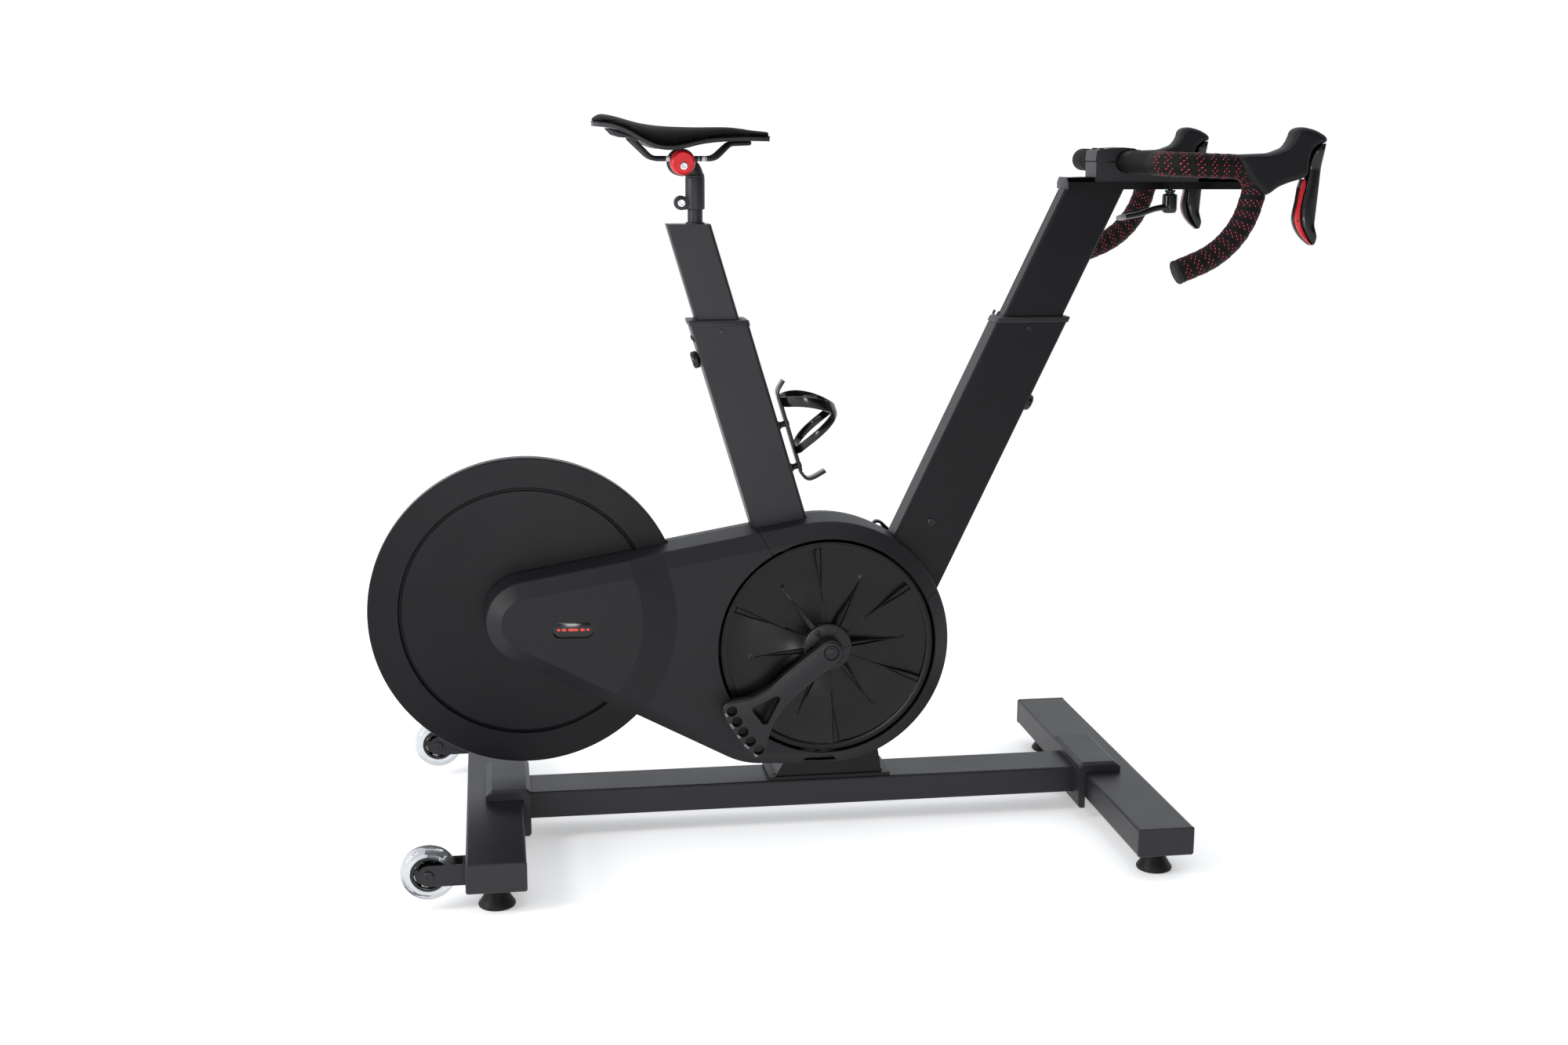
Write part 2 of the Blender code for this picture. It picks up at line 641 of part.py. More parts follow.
def drive_cover_right(mats):
    """Deep cover over the belt, with a round window that the drive pulley shows in."""
    bm = bmesh.new()
    back = [(x, -COVER_SEAM / 2, z) for x, z in cover_outline(COVER_DRAFT)]
    face_edge = cover_outline(-CHAMFER)
    depths = [face_depth(x, z) for x, z in face_edge]
    edge = [(x, CHAMFER_DEPTH - depth, z) for (x, z), depth in zip(cover_outline(0.0), depths)]
    face = [(x, -depth, z) for (x, z), depth in zip(face_edge, depths)]
    rows = [[bm.verts.new(point) for point in ring] for ring in (back, edge, face)]
    count = len(back)
    for lower, upper in zip(rows, rows[1:]):
        for i in range(count):
            j = (i + 1) % count
            bm.faces.new((lower[i], lower[j], upper[j], upper[i]))
    rim = face[FRONT_STEPS:] + face[:1]
    start = math.degrees(math.atan2(rim[0][2] - AXLE_Z, rim[0][0]))
    stop = math.degrees(math.atan2(rim[-1][2] - AXLE_Z, rim[-1][0])) + 360.0
    window = arc(DRUM, DRUM_RADIUS - CHAMFER, start, stop, len(rim) - 1)
    patch_steps = 4
    patch = []
    for k in range(patch_steps + 1):
        share = k / patch_steps
        row = []
        for (x0, _, z0), (x1, z1) in zip(rim, window):
            x = x0 + (x1 - x0) * share
            z = z0 + (z1 - z0) * share
            row.append(bm.verts.new((x, -face_depth(x, z), z)))
        patch.append(row)
    for lower, upper in zip(patch, patch[1:]):
        for i in range(len(rim) - 1):
            bm.faces.new((lower[i], lower[i + 1], upper[i + 1], upper[i]))
    cover = shell_object("drive_cover_right", bm, -1, mats)
    cut_cover(cover, mats)


def drive_cover_left(mats):
    """Shallow cover on the side away from the belt."""
    bm = bmesh.new()
    steps = ((COVER_DRAFT, COVER_SEAM / 2), (0.0, LEFT_EDGE_Y), (-0.014, LEFT_FACE_Y))
    rows = [[bm.verts.new((x, y, z)) for x, z in cover_outline(offset)] for offset, y in steps]
    count = len(rows[0])
    for lower, upper in zip(rows, rows[1:]):
        for i in range(count):
            j = (i + 1) % count
            bm.faces.new((lower[i], lower[j], upper[j], upper[i]))
    bm.faces.new(rows[-1])
    cover = shell_object("drive_cover_left", bm, 1, mats)
    cut_cover(cover, mats)
    window = cylinder("drive_cover_left_window", (0.0, 0.0, AXLE_Z), (0, 1, 0), 0.032, 0.02, 0.06,
                      32, mats["housing"])
    boolean(cover, window, "DIFFERENCE")


# ---------------------------------------------------------------- drive

def flywheel(mats):
    """Steel disc with a heavy rim: a groove parts the rim from the thinner web."""
    near = -FLYWHEEL_HALF
    groove = 0.0045
    profile = [(0.0088, near - 0.008), (0.034, near - 0.008), (0.034, near),
               (RIM_INNER_RADIUS - groove, near), (RIM_INNER_RADIUS - groove, near + 0.003),
               (RIM_INNER_RADIUS, near + 0.003), (RIM_INNER_RADIUS, near),
               (FLYWHEEL_RADIUS - 0.0015, near), (FLYWHEEL_RADIUS, near + 0.0015),
               (FLYWHEEL_RADIUS, FLYWHEEL_HALF - 0.0015), (FLYWHEEL_RADIUS - 0.0015, FLYWHEEL_HALF),
               (RIM_INNER_RADIUS, FLYWHEEL_HALF), (RIM_INNER_RADIUS - groove, 0.0),
               (0.034, 0.0), (0.034, FLYWHEEL_HALF + 0.008), (0.0088, FLYWHEEL_HALF + 0.008)]
    turned("flywheel", profile, (FLYWHEEL_X, 0.0, FLYWHEEL_Z), (0, 1, 0), 48, mats["paint"], hollow=True)


def flywheel_shaft(mats):
    """Shaft through both fork arms, with the belt pinion on its right end."""
    centre = (FLYWHEEL_X, 0.0, FLYWHEEL_Z)
    cylinder("flywheel_shaft", centre, (0, 1, 0), 0.0085, -0.0675, 0.036, 20, mats["steel"])
    flange = PINION_RADIUS + 0.0035
    profile = [(0.0088, -0.066), (flange, -0.066), (flange, -0.0642), (PINION_RADIUS, -0.0642),
               (PINION_RADIUS, -0.0498), (flange, -0.0498), (flange, -0.048), (0.0088, -0.048)]
    turned("flywheel_pulley", profile, centre, (0, 1, 0), 32, mats["alloy"], hollow=True)


def drive_belt(mats):
    """Ribbed belt from the drive pulley to the pinion."""
    outlines = []
    for offset in (GAP, GAP + BELT_THICKNESS):
        circles = ((DRUM, PULLEY_RADIUS + offset, 30), (NOSE, PINION_RADIUS + offset, 10))
        outlines.append(belt_outline(circles, (1, 1)))
    inner, outer = outlines
    low, high = -0.063, -0.051
    rings = [[(x, y, z) for x, z in outline]
             for outline, y in ((inner, low), (outer, low), (outer, high), (inner, high))]
    solid("drive_belt", rings, mats["rubber"], loop=True)


def crank_set(mats):
    """Bottom bracket cartridge, spindle, drive pulley and its hub plate."""
    axle = (0.0, 0.0, AXLE_Z)
    cartridge = [(0.0124, -0.0385), (0.0200, -0.0385), (0.0200, 0.0385), (0.0124, 0.0385)]
    turned("bottom_bracket", cartridge, axle, (0, 1, 0), 28, mats["steel"], hollow=True)
    spindle = [(0.0088, -0.1025), (0.0088, -0.0770), (SPINDLE_RADIUS, -0.0765),
               (SPINDLE_RADIUS, 0.0765), (0.0088, 0.0770), (0.0088, 0.1025)]
    turned("crank_spindle", spindle, axle, (0, 1, 0), 24, mats["steel"])
    bore = SPINDLE_RADIUS + GAP
    pulley = [(bore, -0.0705), (0.0345, -0.0705), (0.0560, -0.0675), (0.1420, -0.0680),
              (0.1465, -0.0705), (0.1555, -0.0705), (0.1555, -0.0650), (PULLEY_RADIUS, -0.0650),
              (PULLEY_RADIUS, -0.0490), (0.1460, -0.0490), (0.1460, -0.0620), (0.0300, -0.0620),
              (0.0300, -0.0420), (bore, -0.0420)]
    turned("drive_pulley", pulley, axle, (0, 1, 0), 40, mats["pulley"], hollow=True)
    plate = [(bore, -0.0755), (0.0330, -0.0755), (0.0350, -0.0740), (0.0350, -0.0708), (bore, -0.0708)]
    turned("hub_plate", plate, axle, (0, 1, 0), 36, mats["alloy"], hollow=True)


CRANK_OUTLINE = ((0.030, -0.0205), (0.066, -0.0225), (0.096, -0.0220), (0.125, -0.0285),
                 (0.150, -0.0450), (0.160, -0.0495), (0.168, -0.0480), (0.1755, -0.0395),
                 (0.1815, -0.0166), (0.1845, 0.0150), (0.1825, 0.0390), (0.1768, 0.0470),
                 (0.1650, 0.0455), (0.1437, 0.0295), (0.1230, 0.0204), (0.0990, 0.0150),
                 (0.0556, 0.0145), (0.0250, 0.0170))
CRANK_WINDOW = ((0.1350, -0.0160), (0.1000, -0.0057), (0.0993, 0.0000), (0.1370, 0.0150),
                (0.1410, 0.0105), (0.1385, -0.0140))
PEDAL_RADII = (0.1650, 0.1675, 0.1700, 0.1725, 0.1750)
PEDAL_SPREAD = 6.0               # degrees between neighbouring pedal holes


def crank_point(u, v, y, side):
    """A point of a crank arm: u out along the arm, v across it; the left arm is the opposite."""
    x = u * math.cos(CRANK_ANGLE) - v * math.sin(CRANK_ANGLE)
    z = u * math.sin(CRANK_ANGLE) + v * math.cos(CRANK_ANGLE)
    return Vector((-side * x, side * y, AXLE_Z - side * z))


def crank(name, side, mats):
    """Crank arm with a fan-shaped end that offers five pedal positions."""
    eye = [(0.0185 * math.cos(math.radians(a)), 0.0185 * math.sin(math.radians(a)))
           for a in range(90, 271, 20)]
    outline = list(CRANK_OUTLINE) + eye
    bevel = 0.0015
    middle = (0.09, 0.0)
    rings = []
    for y, cut in ((CRANK_OUTER_Y, bevel), (CRANK_OUTER_Y - bevel, 0.0), (CRANK_INNER_Y, 0.0)):
        ring = []
        for u, v in outline:
            towards = Vector((middle[0] - u, -v)).normalized() * cut
            ring.append(crank_point(u + towards.x, v + towards.y, y, side))
        rings.append(ring)
    arm = solid(name, rings, mats["alloy"], origin=(0.0, 0.0, AXLE_Z))
    boss = cylinder(name + "_boss", (0.0, 0.0, AXLE_Z), (0, side, 0), 0.0165, 0.0772, 0.1005, 24,
                    mats["alloy"])
    boolean(arm, boss, "UNION")
    window = [[crank_point(u, v, y, side) for u, v in CRANK_WINDOW] for y in (0.08, 0.12)]
    boolean(arm, solid(name + "_window", window, mats["alloy"]), "DIFFERENCE")
    for k, radius in enumerate(PEDAL_RADII):
        angle = math.radians((k - 2) * PEDAL_SPREAD)
        centre = crank_point(radius * math.cos(angle), radius * math.sin(angle), 0.098, side)
        tool = cylinder(f"{name}_pedal_hole_{k}", tuple(centre), (0, 1, 0), PEDAL_HOLE_RADIUS,
                        -0.02, 0.02, 16, mats["alloy"])
        boolean(arm, tool, "DIFFERENCE")
    socket = cylinder(name + "_spindle_hole", (0.0, 0.0, AXLE_Z), (0, side, 0), 0.0091, 0.06, 0.12,
                      24, mats["alloy"])
    boolean(arm, socket, "DIFFERENCE")


# ---------------------------------------------------------------- bottle cage

CAGE_SPINE_U = 0.0525            # distance of the cage's spine from the seat tube's centreline
CAGE_THICKNESS = 0.003
BOTTLE_RADIUS = 0.0365
BOTTLE_U = 0.0905


def cage_hoop_path(steps):
    """Centreline of the hoop: level at the back, dipping towards the front."""
    path = []
    for k in range(steps + 1):
        angle = math.radians(190 + 340 * k / steps)
        dip = 0.033 * ((1 + math.cos(angle)) / 2) ** 2
        u = BOTTLE_U + BOTTLE_RADIUS * math.cos(angle)
        path.append(on_mast(SEAT, 0.621 - dip, u, BOTTLE_RADIUS * math.sin(angle)))
    return path


def cage_brace_path(side, steps):
    """Centreline of one of the two arms that run from the front of the hoop to the spine."""
    path = []
    for k in range(steps + 1):
        share = k / steps
        angle = math.radians(side * (28 + 122 * share))
        radius = BOTTLE_RADIUS + 0.0004
        path.append(on_mast(SEAT, 0.586 - 0.034 * share, BOTTLE_U + radius * math.cos(angle),
                            radius * math.sin(angle)))
    path.append(on_mast(SEAT, 0.550, CAGE_SPINE_U, side * 0.005))
    return path


def bottle_cage(mats):
    """Moulded cage: a spine on two standoffs, a hoop, two braces and a foot for the bottle."""
    mat = mats["gloss"]
    along = SEAT[1]
    across = SEAT[2]
    spine = [on_mast(SEAT, 0.648, CAGE_SPINE_U + 0.014), on_mast(SEAT, 0.637, CAGE_SPINE_U + 0.002),
             on_mast(SEAT, 0.628, CAGE_SPINE_U), on_mast(SEAT, 0.518, CAGE_SPINE_U),
             on_mast(SEAT, 0.5075, CAGE_SPINE_U + 0.005), on_mast(SEAT, 0.5045, CAGE_SPINE_U + 0.014),
             on_mast(SEAT, 0.5085, CAGE_SPINE_U + 0.035)]
    flat = [(-0.009, -0.0023), (0.009, -0.0023), (0.009, 0.0023), (-0.009, 0.0023)]
    cage = solid("bottle_cage", flat_sweep_rings(spine, flat), mat)
    half = CAGE_THICKNESS / 2
    ribbon = [(-half, -0.0075), (half, -0.0075), (half, 0.0075), (-half, 0.0075)]
    hoop = sweep_rings(cage_hoop_path(16), ribbon, along)
    boolean(cage, solid("bottle_cage_hoop", hoop, mat), "UNION")
    for side in (-1, 1):
        strap = [(a * 1.2, b * 0.8) for a, b in ribbon]
        rings = sweep_rings(cage_brace_path(side, 6), strap, along)
        boolean(cage, solid(f"bottle_cage_brace_{side}", rings, mat), "UNION")
        foot = tuple(on_mast(SEAT, 0.558 + side * 0.031, SEAT_SLEEVE[0] + GAP))
        standoff = cylinder(f"bottle_cage_standoff_{side}", foot, tuple(across), 0.006, 0.0,
                            CAGE_SPINE_U - SEAT_SLEEVE[0] - 0.001, 12, mat)
        boolean(cage, standoff, "UNION")


# ---------------------------------------------------------------- saddle

# x, half width, height of the top and of the side edge at each station, rear to nose
SADDLE_STATIONS = (
    (-0.3240, 0.0280, 1.0360, 1.0295), (-0.3150, 0.0520, 1.0410, 1.0290),
    (-0.3000, 0.0630, 1.0385, 1.0270), (-0.2800, 0.0700, 1.0330, 1.0195),
    (-0.2600, 0.0725, 1.0280, 1.0085), (-0.2400, 0.0710, 1.0250, 1.0000),
    (-0.2200, 0.0650, 1.0235, 0.9980), (-0.2000, 0.0550, 1.0228, 1.0005),
    (-0.1800, 0.0440, 1.0225, 1.0050), (-0.1600, 0.0340, 1.0228, 1.0078),
    (-0.1350, 0.0260, 1.0228, 1.0095), (-0.1100, 0.0215, 1.0208, 1.0100),
    (-0.0900, 0.0180, 1.0182, 1.0104), (-0.0785, 0.0110, 1.0160, 1.0108),
)
SHELL_THICKNESS = 0.005
ARCH = 0.35                      # how far the underside arches up, as a share of the height


def saddle_row(station, points, fraction_low, lift):
    """Half a section from the right edge to the left: a dome, or the arched underside."""
    x, half, top, edge = station
    row = []
    for k in range(points):
        across = -math.cos(math.pi * k / (points - 1))
        if fraction_low:
            z = edge + ARCH * (top - edge) * (1.0 - across * across)
        else:
            z = edge + (top - edge) * (1.0 - across * across) ** 0.5
        row.append((x, half * across, z + lift))
    return row


def saddle(mats):
    """Padded cover over a stiff shell."""
    points = 9
    pad = []
    shell = []
    for station in SADDLE_STATIONS:
        dome = saddle_row(station, points, False, 0.0)
        arch = saddle_row(station, points, True, 0.0)
        pad.append(dome + [(x, y, z) for x, y, z in reversed(arch[1:-1])])
        upper = saddle_row(station, points, True, -GAP - 0.0004)
        under = saddle_row(station, points, True, -GAP - 0.0004 - SHELL_THICKNESS)
        shell.append(upper + list(reversed(under)))
    origin = (CLAMP_X, 0.0, CLAMP_Z)
    solid("saddle_pad", pad, mats["leather"], origin)
    solid("saddle_shell", shell, mats["gloss"], origin)


def saddle_rails(mats):
    """One bent rod under the saddle: two rails that meet in the nose."""
    half = [(-0.2730, 0.036, 1.0080), (-0.2440, RAIL_Y, RAIL_Z), (-0.1560, RAIL_Y, RAIL_Z),
            (-0.1340, 0.014, 1.0005), (-0.1060, 0.007, 1.0015)]
    right = [(x, -y, z) for x, y, z in half]
    corners = right + list(reversed(half))
    radii = [0.020, 0.020, 0.014, 0.005, 0.005, 0.014, 0.020, 0.020]
    rings = carried_rings(filleted_path(corners, radii, 3), RAIL_RADIUS, 8)
    solid("saddle_rails", rings, mats["alloy"], (CLAMP_X, 0.0, CLAMP_Z))


def saddle_clamp(mats):
    """Head on the seat post and the two cheeks that grip the rails."""
    centre = (CLAMP_X, 0.0, CLAMP_Z)
    head_profile = [(0.0137, 0.910), (0.0137, 0.953), (0.0120, 0.957)]
    head = turned("saddle_head", head_profile, (POST_X, 0.0, 0.0), (0, 0, 1), 24, mats["paint"])
    elbow_path = [Vector((POST_X, 0.0, 0.945)), Vector((POST_X - 0.001, 0.0, 0.960)),
                  Vector((POST_X - 0.008, 0.0, 0.970)), Vector((CLAMP_X, 0.0, CLAMP_Z))]
    elbow = solid("saddle_head_elbow", carried_rings(elbow_path, 0.0118, 16), mats["paint"])
    boolean(head, elbow, "UNION")
    core = cylinder("saddle_head_core", centre, (0, 1, 0), 0.0155, -0.0135, 0.0135, 28, mats["paint"])
    boolean(head, core, "UNION")
    ear_outline = arc((POST_X - 0.0198, 0.9192), 0.0100, 50, 270, 10)
    ear_outline += [(POST_X - 0.008, 0.9105), (POST_X - 0.008, 0.9360)]
    ear = solid("saddle_head_ear", polygon_prism(ear_outline, -0.009, 0.009), mats["paint"])
    boolean(head, ear, "UNION")
    bore = cylinder("saddle_head_bore", (POST_X, 0.0, 0.0), (0, 0, 1), POST_RADIUS + GAP, 0.900,
                    0.9505, 24, mats["paint"])
    boolean(head, bore, "DIFFERENCE")
    for name, side in (("right", -1), ("left", 1)):
        profile = [(0.0165, 0.0140), (0.0175, 0.0200), (0.0175, 0.0310), (0.0130, 0.0350)]
        cheek = turned("clamp_cheek_" + name, profile, centre, (0, side, 0), 28, mats["red"])
        groove = cylinder(f"clamp_cheek_{name}_groove", (CLAMP_X, side * RAIL_Y, RAIL_Z), (1, 0, 0),
                          RAIL_RADIUS + 0.0004, -0.04, 0.04, 12, mats["red"])
        boolean(cheek, groove, "DIFFERENCE")


def seat_mast(mats):
    """Sliding mast with the welded stub that the saddle head clamps on."""
    tube = mast("seat_mast", SEAT, SEAT_MAST, 0.560, SEAT_MAST_TOP, mats["paint"])
    profile = [(0.0135, SEAT_MAST_TOP - 0.002), (0.0135, SEAT_MAST_TOP + 0.002),
               (POST_RADIUS, SEAT_MAST_TOP + 0.003), (POST_RADIUS, 0.950)]
    post = turned("seat_mast_post", profile, (POST_X, 0.0, 0.0), (0, 0, 1), 24, mats["paint"])
    boolean(tube, post, "UNION")


# ---------------------------------------------------------------- handlebar

def handlebar_rail(mats):
    """Dovetail rail on top of the front mast, with a slot for the lock bolt."""
    section = [(-0.027, RAIL_BOTTOM), (0.027, RAIL_BOTTOM), (0.027, RAIL_LIP_TOP),
               (0.016, RAIL_LIP_TOP), (0.021, RAIL_TOP), (-0.021, RAIL_TOP),
               (-0.016, RAIL_LIP_TOP), (-0.027, RAIL_LIP_TOP)]
    rings = [[(x, y, z) for y, z in section] for x in (RAIL_REAR_X, RAIL_FRONT_X)]
    rail = solid("handlebar_rail", rings, mats["alloy"])
    slot = box_rings((LOCK_X - 0.006, -0.0046, 0.930), (LOCK_X + 0.076, 0.0046, 0.960))
    boolean(rail, solid("handlebar_rail_slot", slot, mats["alloy"]), "DIFFERENCE")


def bar_carriage(mats):
    """Sliding block on the rail, and the cap that clamps the handlebar to it."""
    outline = [(0.392, 0.9486), (0.546, 0.9486), (0.546, 0.9600), (0.542, 0.9625),
               (0.469, 0.9625), (0.464, 0.9760), (0.392, 0.9760)]
    origin = (BAR_X, 0.0, BAR_Z)
    block = solid("bar_carriage", polygon_prism(outline, -0.025, 0.025), mats["trim"], origin)
    channel = [(-0.0255, 0.940), (0.0255, 0.940), (0.0164, RAIL_LIP_TOP + 0.0002),
               (0.0214, RAIL_TOP + 0.0004), (-0.0214, RAIL_TOP + 0.0004),
               (-0.0164, RAIL_LIP_TOP + 0.0002)]
    channel_rings = [[(x, y, z) for y, z in channel] for x in (0.38, 0.56)]
    boolean(block, solid("bar_carriage_channel", channel_rings, mats["trim"]), "DIFFERENCE")
    seat = cylinder("bar_carriage_seat", origin, (0, 1, 0), BAR_CLAMP_RADIUS, -0.04, 0.04, 28,
                    mats["trim"])
    boolean(block, seat, "DIFFERENCE")
    bolt = cylinder("bar_carriage_bolt_hole", (LOCK_X, 0.0, 0.0), (0, 0, 1), 0.0044, 0.94, 0.97, 14,
                    mats["trim"])
    boolean(block, bolt, "DIFFERENCE")
    cap_outline = [(0.391, 0.9780), (0.463, 0.9780), (0.4625, 0.9840), (0.4570, 0.9915),
                   (0.4480, 0.9960), (0.4320, 0.9972), (0.4120, 0.9962), (0.3925, 0.9925)]
    cap = solid("stem_cap", polygon_prism(cap_outline, -0.0245, 0.0245), mats["trim"], origin)
    cap_seat = cylinder("stem_cap_seat", origin, (0, 1, 0), BAR_CLAMP_RADIUS, -0.04, 0.04, 28,
                        mats["trim"])
    boolean(cap, cap_seat, "DIFFERENCE")


def lock_lever(mats):
    """Lever under the rail whose bolt pulls the carriage down on the dovetail."""
    profile = [(0.0035, 0.9620), (0.0035, 0.9365), (0.0075, 0.9365), (0.0075, 0.9310),
               (0.0105, 0.9305), (0.0105, 0.9060), (0.0080, 0.9035)]
    lever = turned("lock_lever", profile, (LOCK_X, 0.0, 0.0), (0, 0, 1), 18, mats["gloss"])
    path = [Vector((LOCK_X - 0.0823 * share, -0.020 * share, z))
            for share, z in ((0.0, 0.9120), (0.36, 0.9080), (0.76, 0.8990), (0.93, 0.8980))]
    section = [(0.0055 * math.cos(math.radians(a)), 0.0050 * math.sin(math.radians(a)))
               for a in range(0, 360, 36)]
    arm = solid("lock_lever_arm", sweep_rings(path, section, Vector((0, 0, 1))), mats["gloss"])
    boolean(lever, arm, "UNION")


def bar_path():
    """Centreline of the drop handlebar, from its right end to its left one."""
    half = [(0.4503, BAR_HALF, 0.8338), (0.5330, BAR_HALF, 0.8672), (0.5610, BAR_HALF, 0.9730),
            (BAR_X, BAR_HALF, BAR_Z)]
    corners = [(x, -y, z) for x, y, z in half] + list(reversed(half))
    return filleted_path(corners, [0.118, 0.030, 0.040, 0.040, 0.030, 0.118], 6)


def handlebar(mats):
    """Drop bar, at the diameter of its wrapped tape."""
    rings = carried_rings(bar_path(), BAR_RADIUS, BAR_SEGMENTS)
    solid("handlebar", rings, mats["tape"], (BAR_X, 0.0, BAR_Z))


HOOD_OUTLINE = ((0.519, 0.9895), (0.570, 0.9915), (0.592, 0.9994), (0.6005, 1.0115),
                (0.6015, 1.0200), (0.607, 1.0250), (0.615, 1.0263), (0.630, 1.0230),
                (0.6465, 1.0148), (0.6530, 1.0092), (0.649, 1.0065), (0.636, 1.0030),
                (0.626, 0.9950), (0.623, 0.9800), (0.6225, 0.9620), (0.6127, 0.9574),
                (0.5976, 0.9534), (0.5810, 0.9470), (0.5700, 0.9380), (0.5600, 0.9350),
                (0.5400, 0.9540), (0.5280, 0.9720))
LEVER_FRONT = ((0.6462, 1.0055), (0.6442, 0.9680), (0.6420, 0.9280), (0.6400, 0.8960),
               (0.6435, 0.8800), (0.6420, 0.8705), (0.6385, 0.8690))
LEVER_REAR = ((0.6290, 0.8800), (0.6215, 0.8930), (0.6180, 0.9050), (0.6180, 0.9200),
              (0.6205, 0.9350), (0.6235, 0.9480), (0.6240, 0.9620), (0.6245, 0.9800),
              (0.6270, 0.9930), (0.6365, 1.0020))
PADDLE_REAR = ((0.6175, 0.9580), (0.6160, 0.9400), (0.6140, 0.9250), (0.6115, 0.9120),
               (0.6115, 0.9020), (0.6155, 0.8905), (0.6240, 0.8790), (0.6350, 0.8700))
LEVER_SWING_POCKET = ((0.6022, 0.9400), (0.6042, 0.9670), (0.6140, 0.9690), (0.6205, 0.9840),
                      (0.6255, 0.9965), (0.6600, 0.9965), (0.6600, 0.9400))
LEVER_PIVOT = (0.632, 0.985)
LEVER_HALF = 0.0085
PADDLE_HALF = 0.0070
PADDLE_PIVOT = (0.620, 0.958)
HOOD_HALF = 0.0195


def control(side_name, side, mats):
    """Rubber hood, brake lever and shift paddle on one side of the handlebar."""
    mid = side * BAR_HALF
    rings = []
    for y, cut in ((-HOOD_HALF, 0.93), (-HOOD_HALF + 0.004, 1.0), (HOOD_HALF - 0.004, 1.0),
                   (HOOD_HALF, 0.93)):
        rings.append([(0.59 + (x - 0.59) * (1.0 + (cut - 1.0) * 0.4), mid + y,
                       0.98 + (z - 0.98) * cut) for x, z in HOOD_OUTLINE])
    hood = solid("hood_" + side_name, rings, mats["rubber"], (BAR_X, 0.0, BAR_Z))
    tool = solid(f"hood_{side_name}_bar_cut", carried_rings(bar_path(), BAR_RADIUS + 2 * GAP, BAR_SEGMENTS),
                 mats["rubber"])
    boolean(hood, tool, "DIFFERENCE")
    pocket = polygon_prism(LEVER_SWING_POCKET, mid - 0.0105, mid + 0.0105)
    boolean(hood, solid(f"hood_{side_name}_pocket", pocket, mats["rubber"]), "DIFFERENCE")
    blade = list(LEVER_FRONT) + list(LEVER_REAR)
    solid("brake_lever_" + side_name, polygon_prism(blade, mid - LEVER_HALF, mid + LEVER_HALF),
          mats["gloss"], (LEVER_PIVOT[0], mid, LEVER_PIVOT[1]))
    front = [(x - 0.0011, z) for x, z in LEVER_REAR[:6]]
    paddle = [(0.6360, 0.8690)] + front + [(0.6215, 0.9565)] + list(PADDLE_REAR)
    solid("shift_paddle_" + side_name, polygon_prism(paddle, mid - PADDLE_HALF, mid + PADDLE_HALF),
          mats["red_plastic"], (PADDLE_PIVOT[0], mid, PADDLE_PIVOT[1]))


# ---------------------------------------------------------------- assembly

SEAT_KNOB_Z = 0.7115
COLUMN_KNOB_Z = 0.652


def build():
    """Model every sub-part of the bike."""
    clear_scene()
    mats = make_materials()
    base_beam(mats)
    for name, x, inward in (("rear", REAR_X, 1), ("front", FRONT_X, -1)):
        stabilizer(name + "_stabilizer", x, mats)
        joint_cover(name + "_joint_cover", x, inward, mats)
        for side_name, side in (("right", -1), ("left", 1)):
            end_cap(f"{name}_{side_name}_end_cap", x, side, mats)
            levelling_foot(f"{name}_{side_name}_foot", x, side, mats)
    for side_name, side in (("right", -1), ("left", 1)):
        wheel_bracket("wheel_bracket_" + side_name, side, mats)
        transport_wheel(side_name, side, mats)
        fork_arm("fork_arm_" + side_name, side, mats)
        crank("crank_" + side_name, side, mats)
        control(side_name, side, mats)
    main_frame(mats)
    seat_tube = sleeve("seat_tube", SEAT, SEAT_SLEEVE, SEAT_STUB_Z, mats["paint"])
    column = sleeve("front_column", COLUMN, COLUMN_SLEEVE, COLUMN_STUB_Z, mats["paint"])
    knob_hole(seat_tube, SEAT, SEAT_SLEEVE, SEAT_KNOB_Z, -1, mats["paint"])
    knob_hole(column, COLUMN, COLUMN_SLEEVE, COLUMN_KNOB_Z, 1, mats["paint"])
    collar("seat_collar", SEAT, SEAT_SLEEVE, SEAT_MAST, mats["trim"])
    collar("front_collar", COLUMN, COLUMN_SLEEVE, FRONT_MAST, mats["trim"])
    clamp_knob("seat_knob", SEAT, SEAT_SLEEVE, SEAT_MAST, SEAT_KNOB_Z, -1, mats["gloss"])
    clamp_knob("column_knob", COLUMN, COLUMN_SLEEVE, FRONT_MAST, COLUMN_KNOB_Z, 1, mats["gloss"])
    drive_cover_right(mats)
    drive_cover_left(mats)
    flywheel(mats)
    flywheel_shaft(mats)
    drive_belt(mats)
    crank_set(mats)
    bottle_cage(mats)
    seat_mast(mats)
    saddle_clamp(mats)
    saddle(mats)
    saddle_rails(mats)
    mast("front_mast", COLUMN, FRONT_MAST, 0.540, FRONT_MAST_TOP, mats["paint"])
    handlebar_rail(mats)
    bar_carriage(mats)
    lock_lever(mats)
    handlebar(mats)


build()
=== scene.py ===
"""Looks of an upright exercise bike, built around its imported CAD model. Metres, +Z up, +X forwards."""

import json
import math

import bmesh
import bpy
from mathutils import Matrix, Vector, noise
from mathutils.bvhtree import BVHTree
from mathutils.geometry import delaunay_2d_cdt


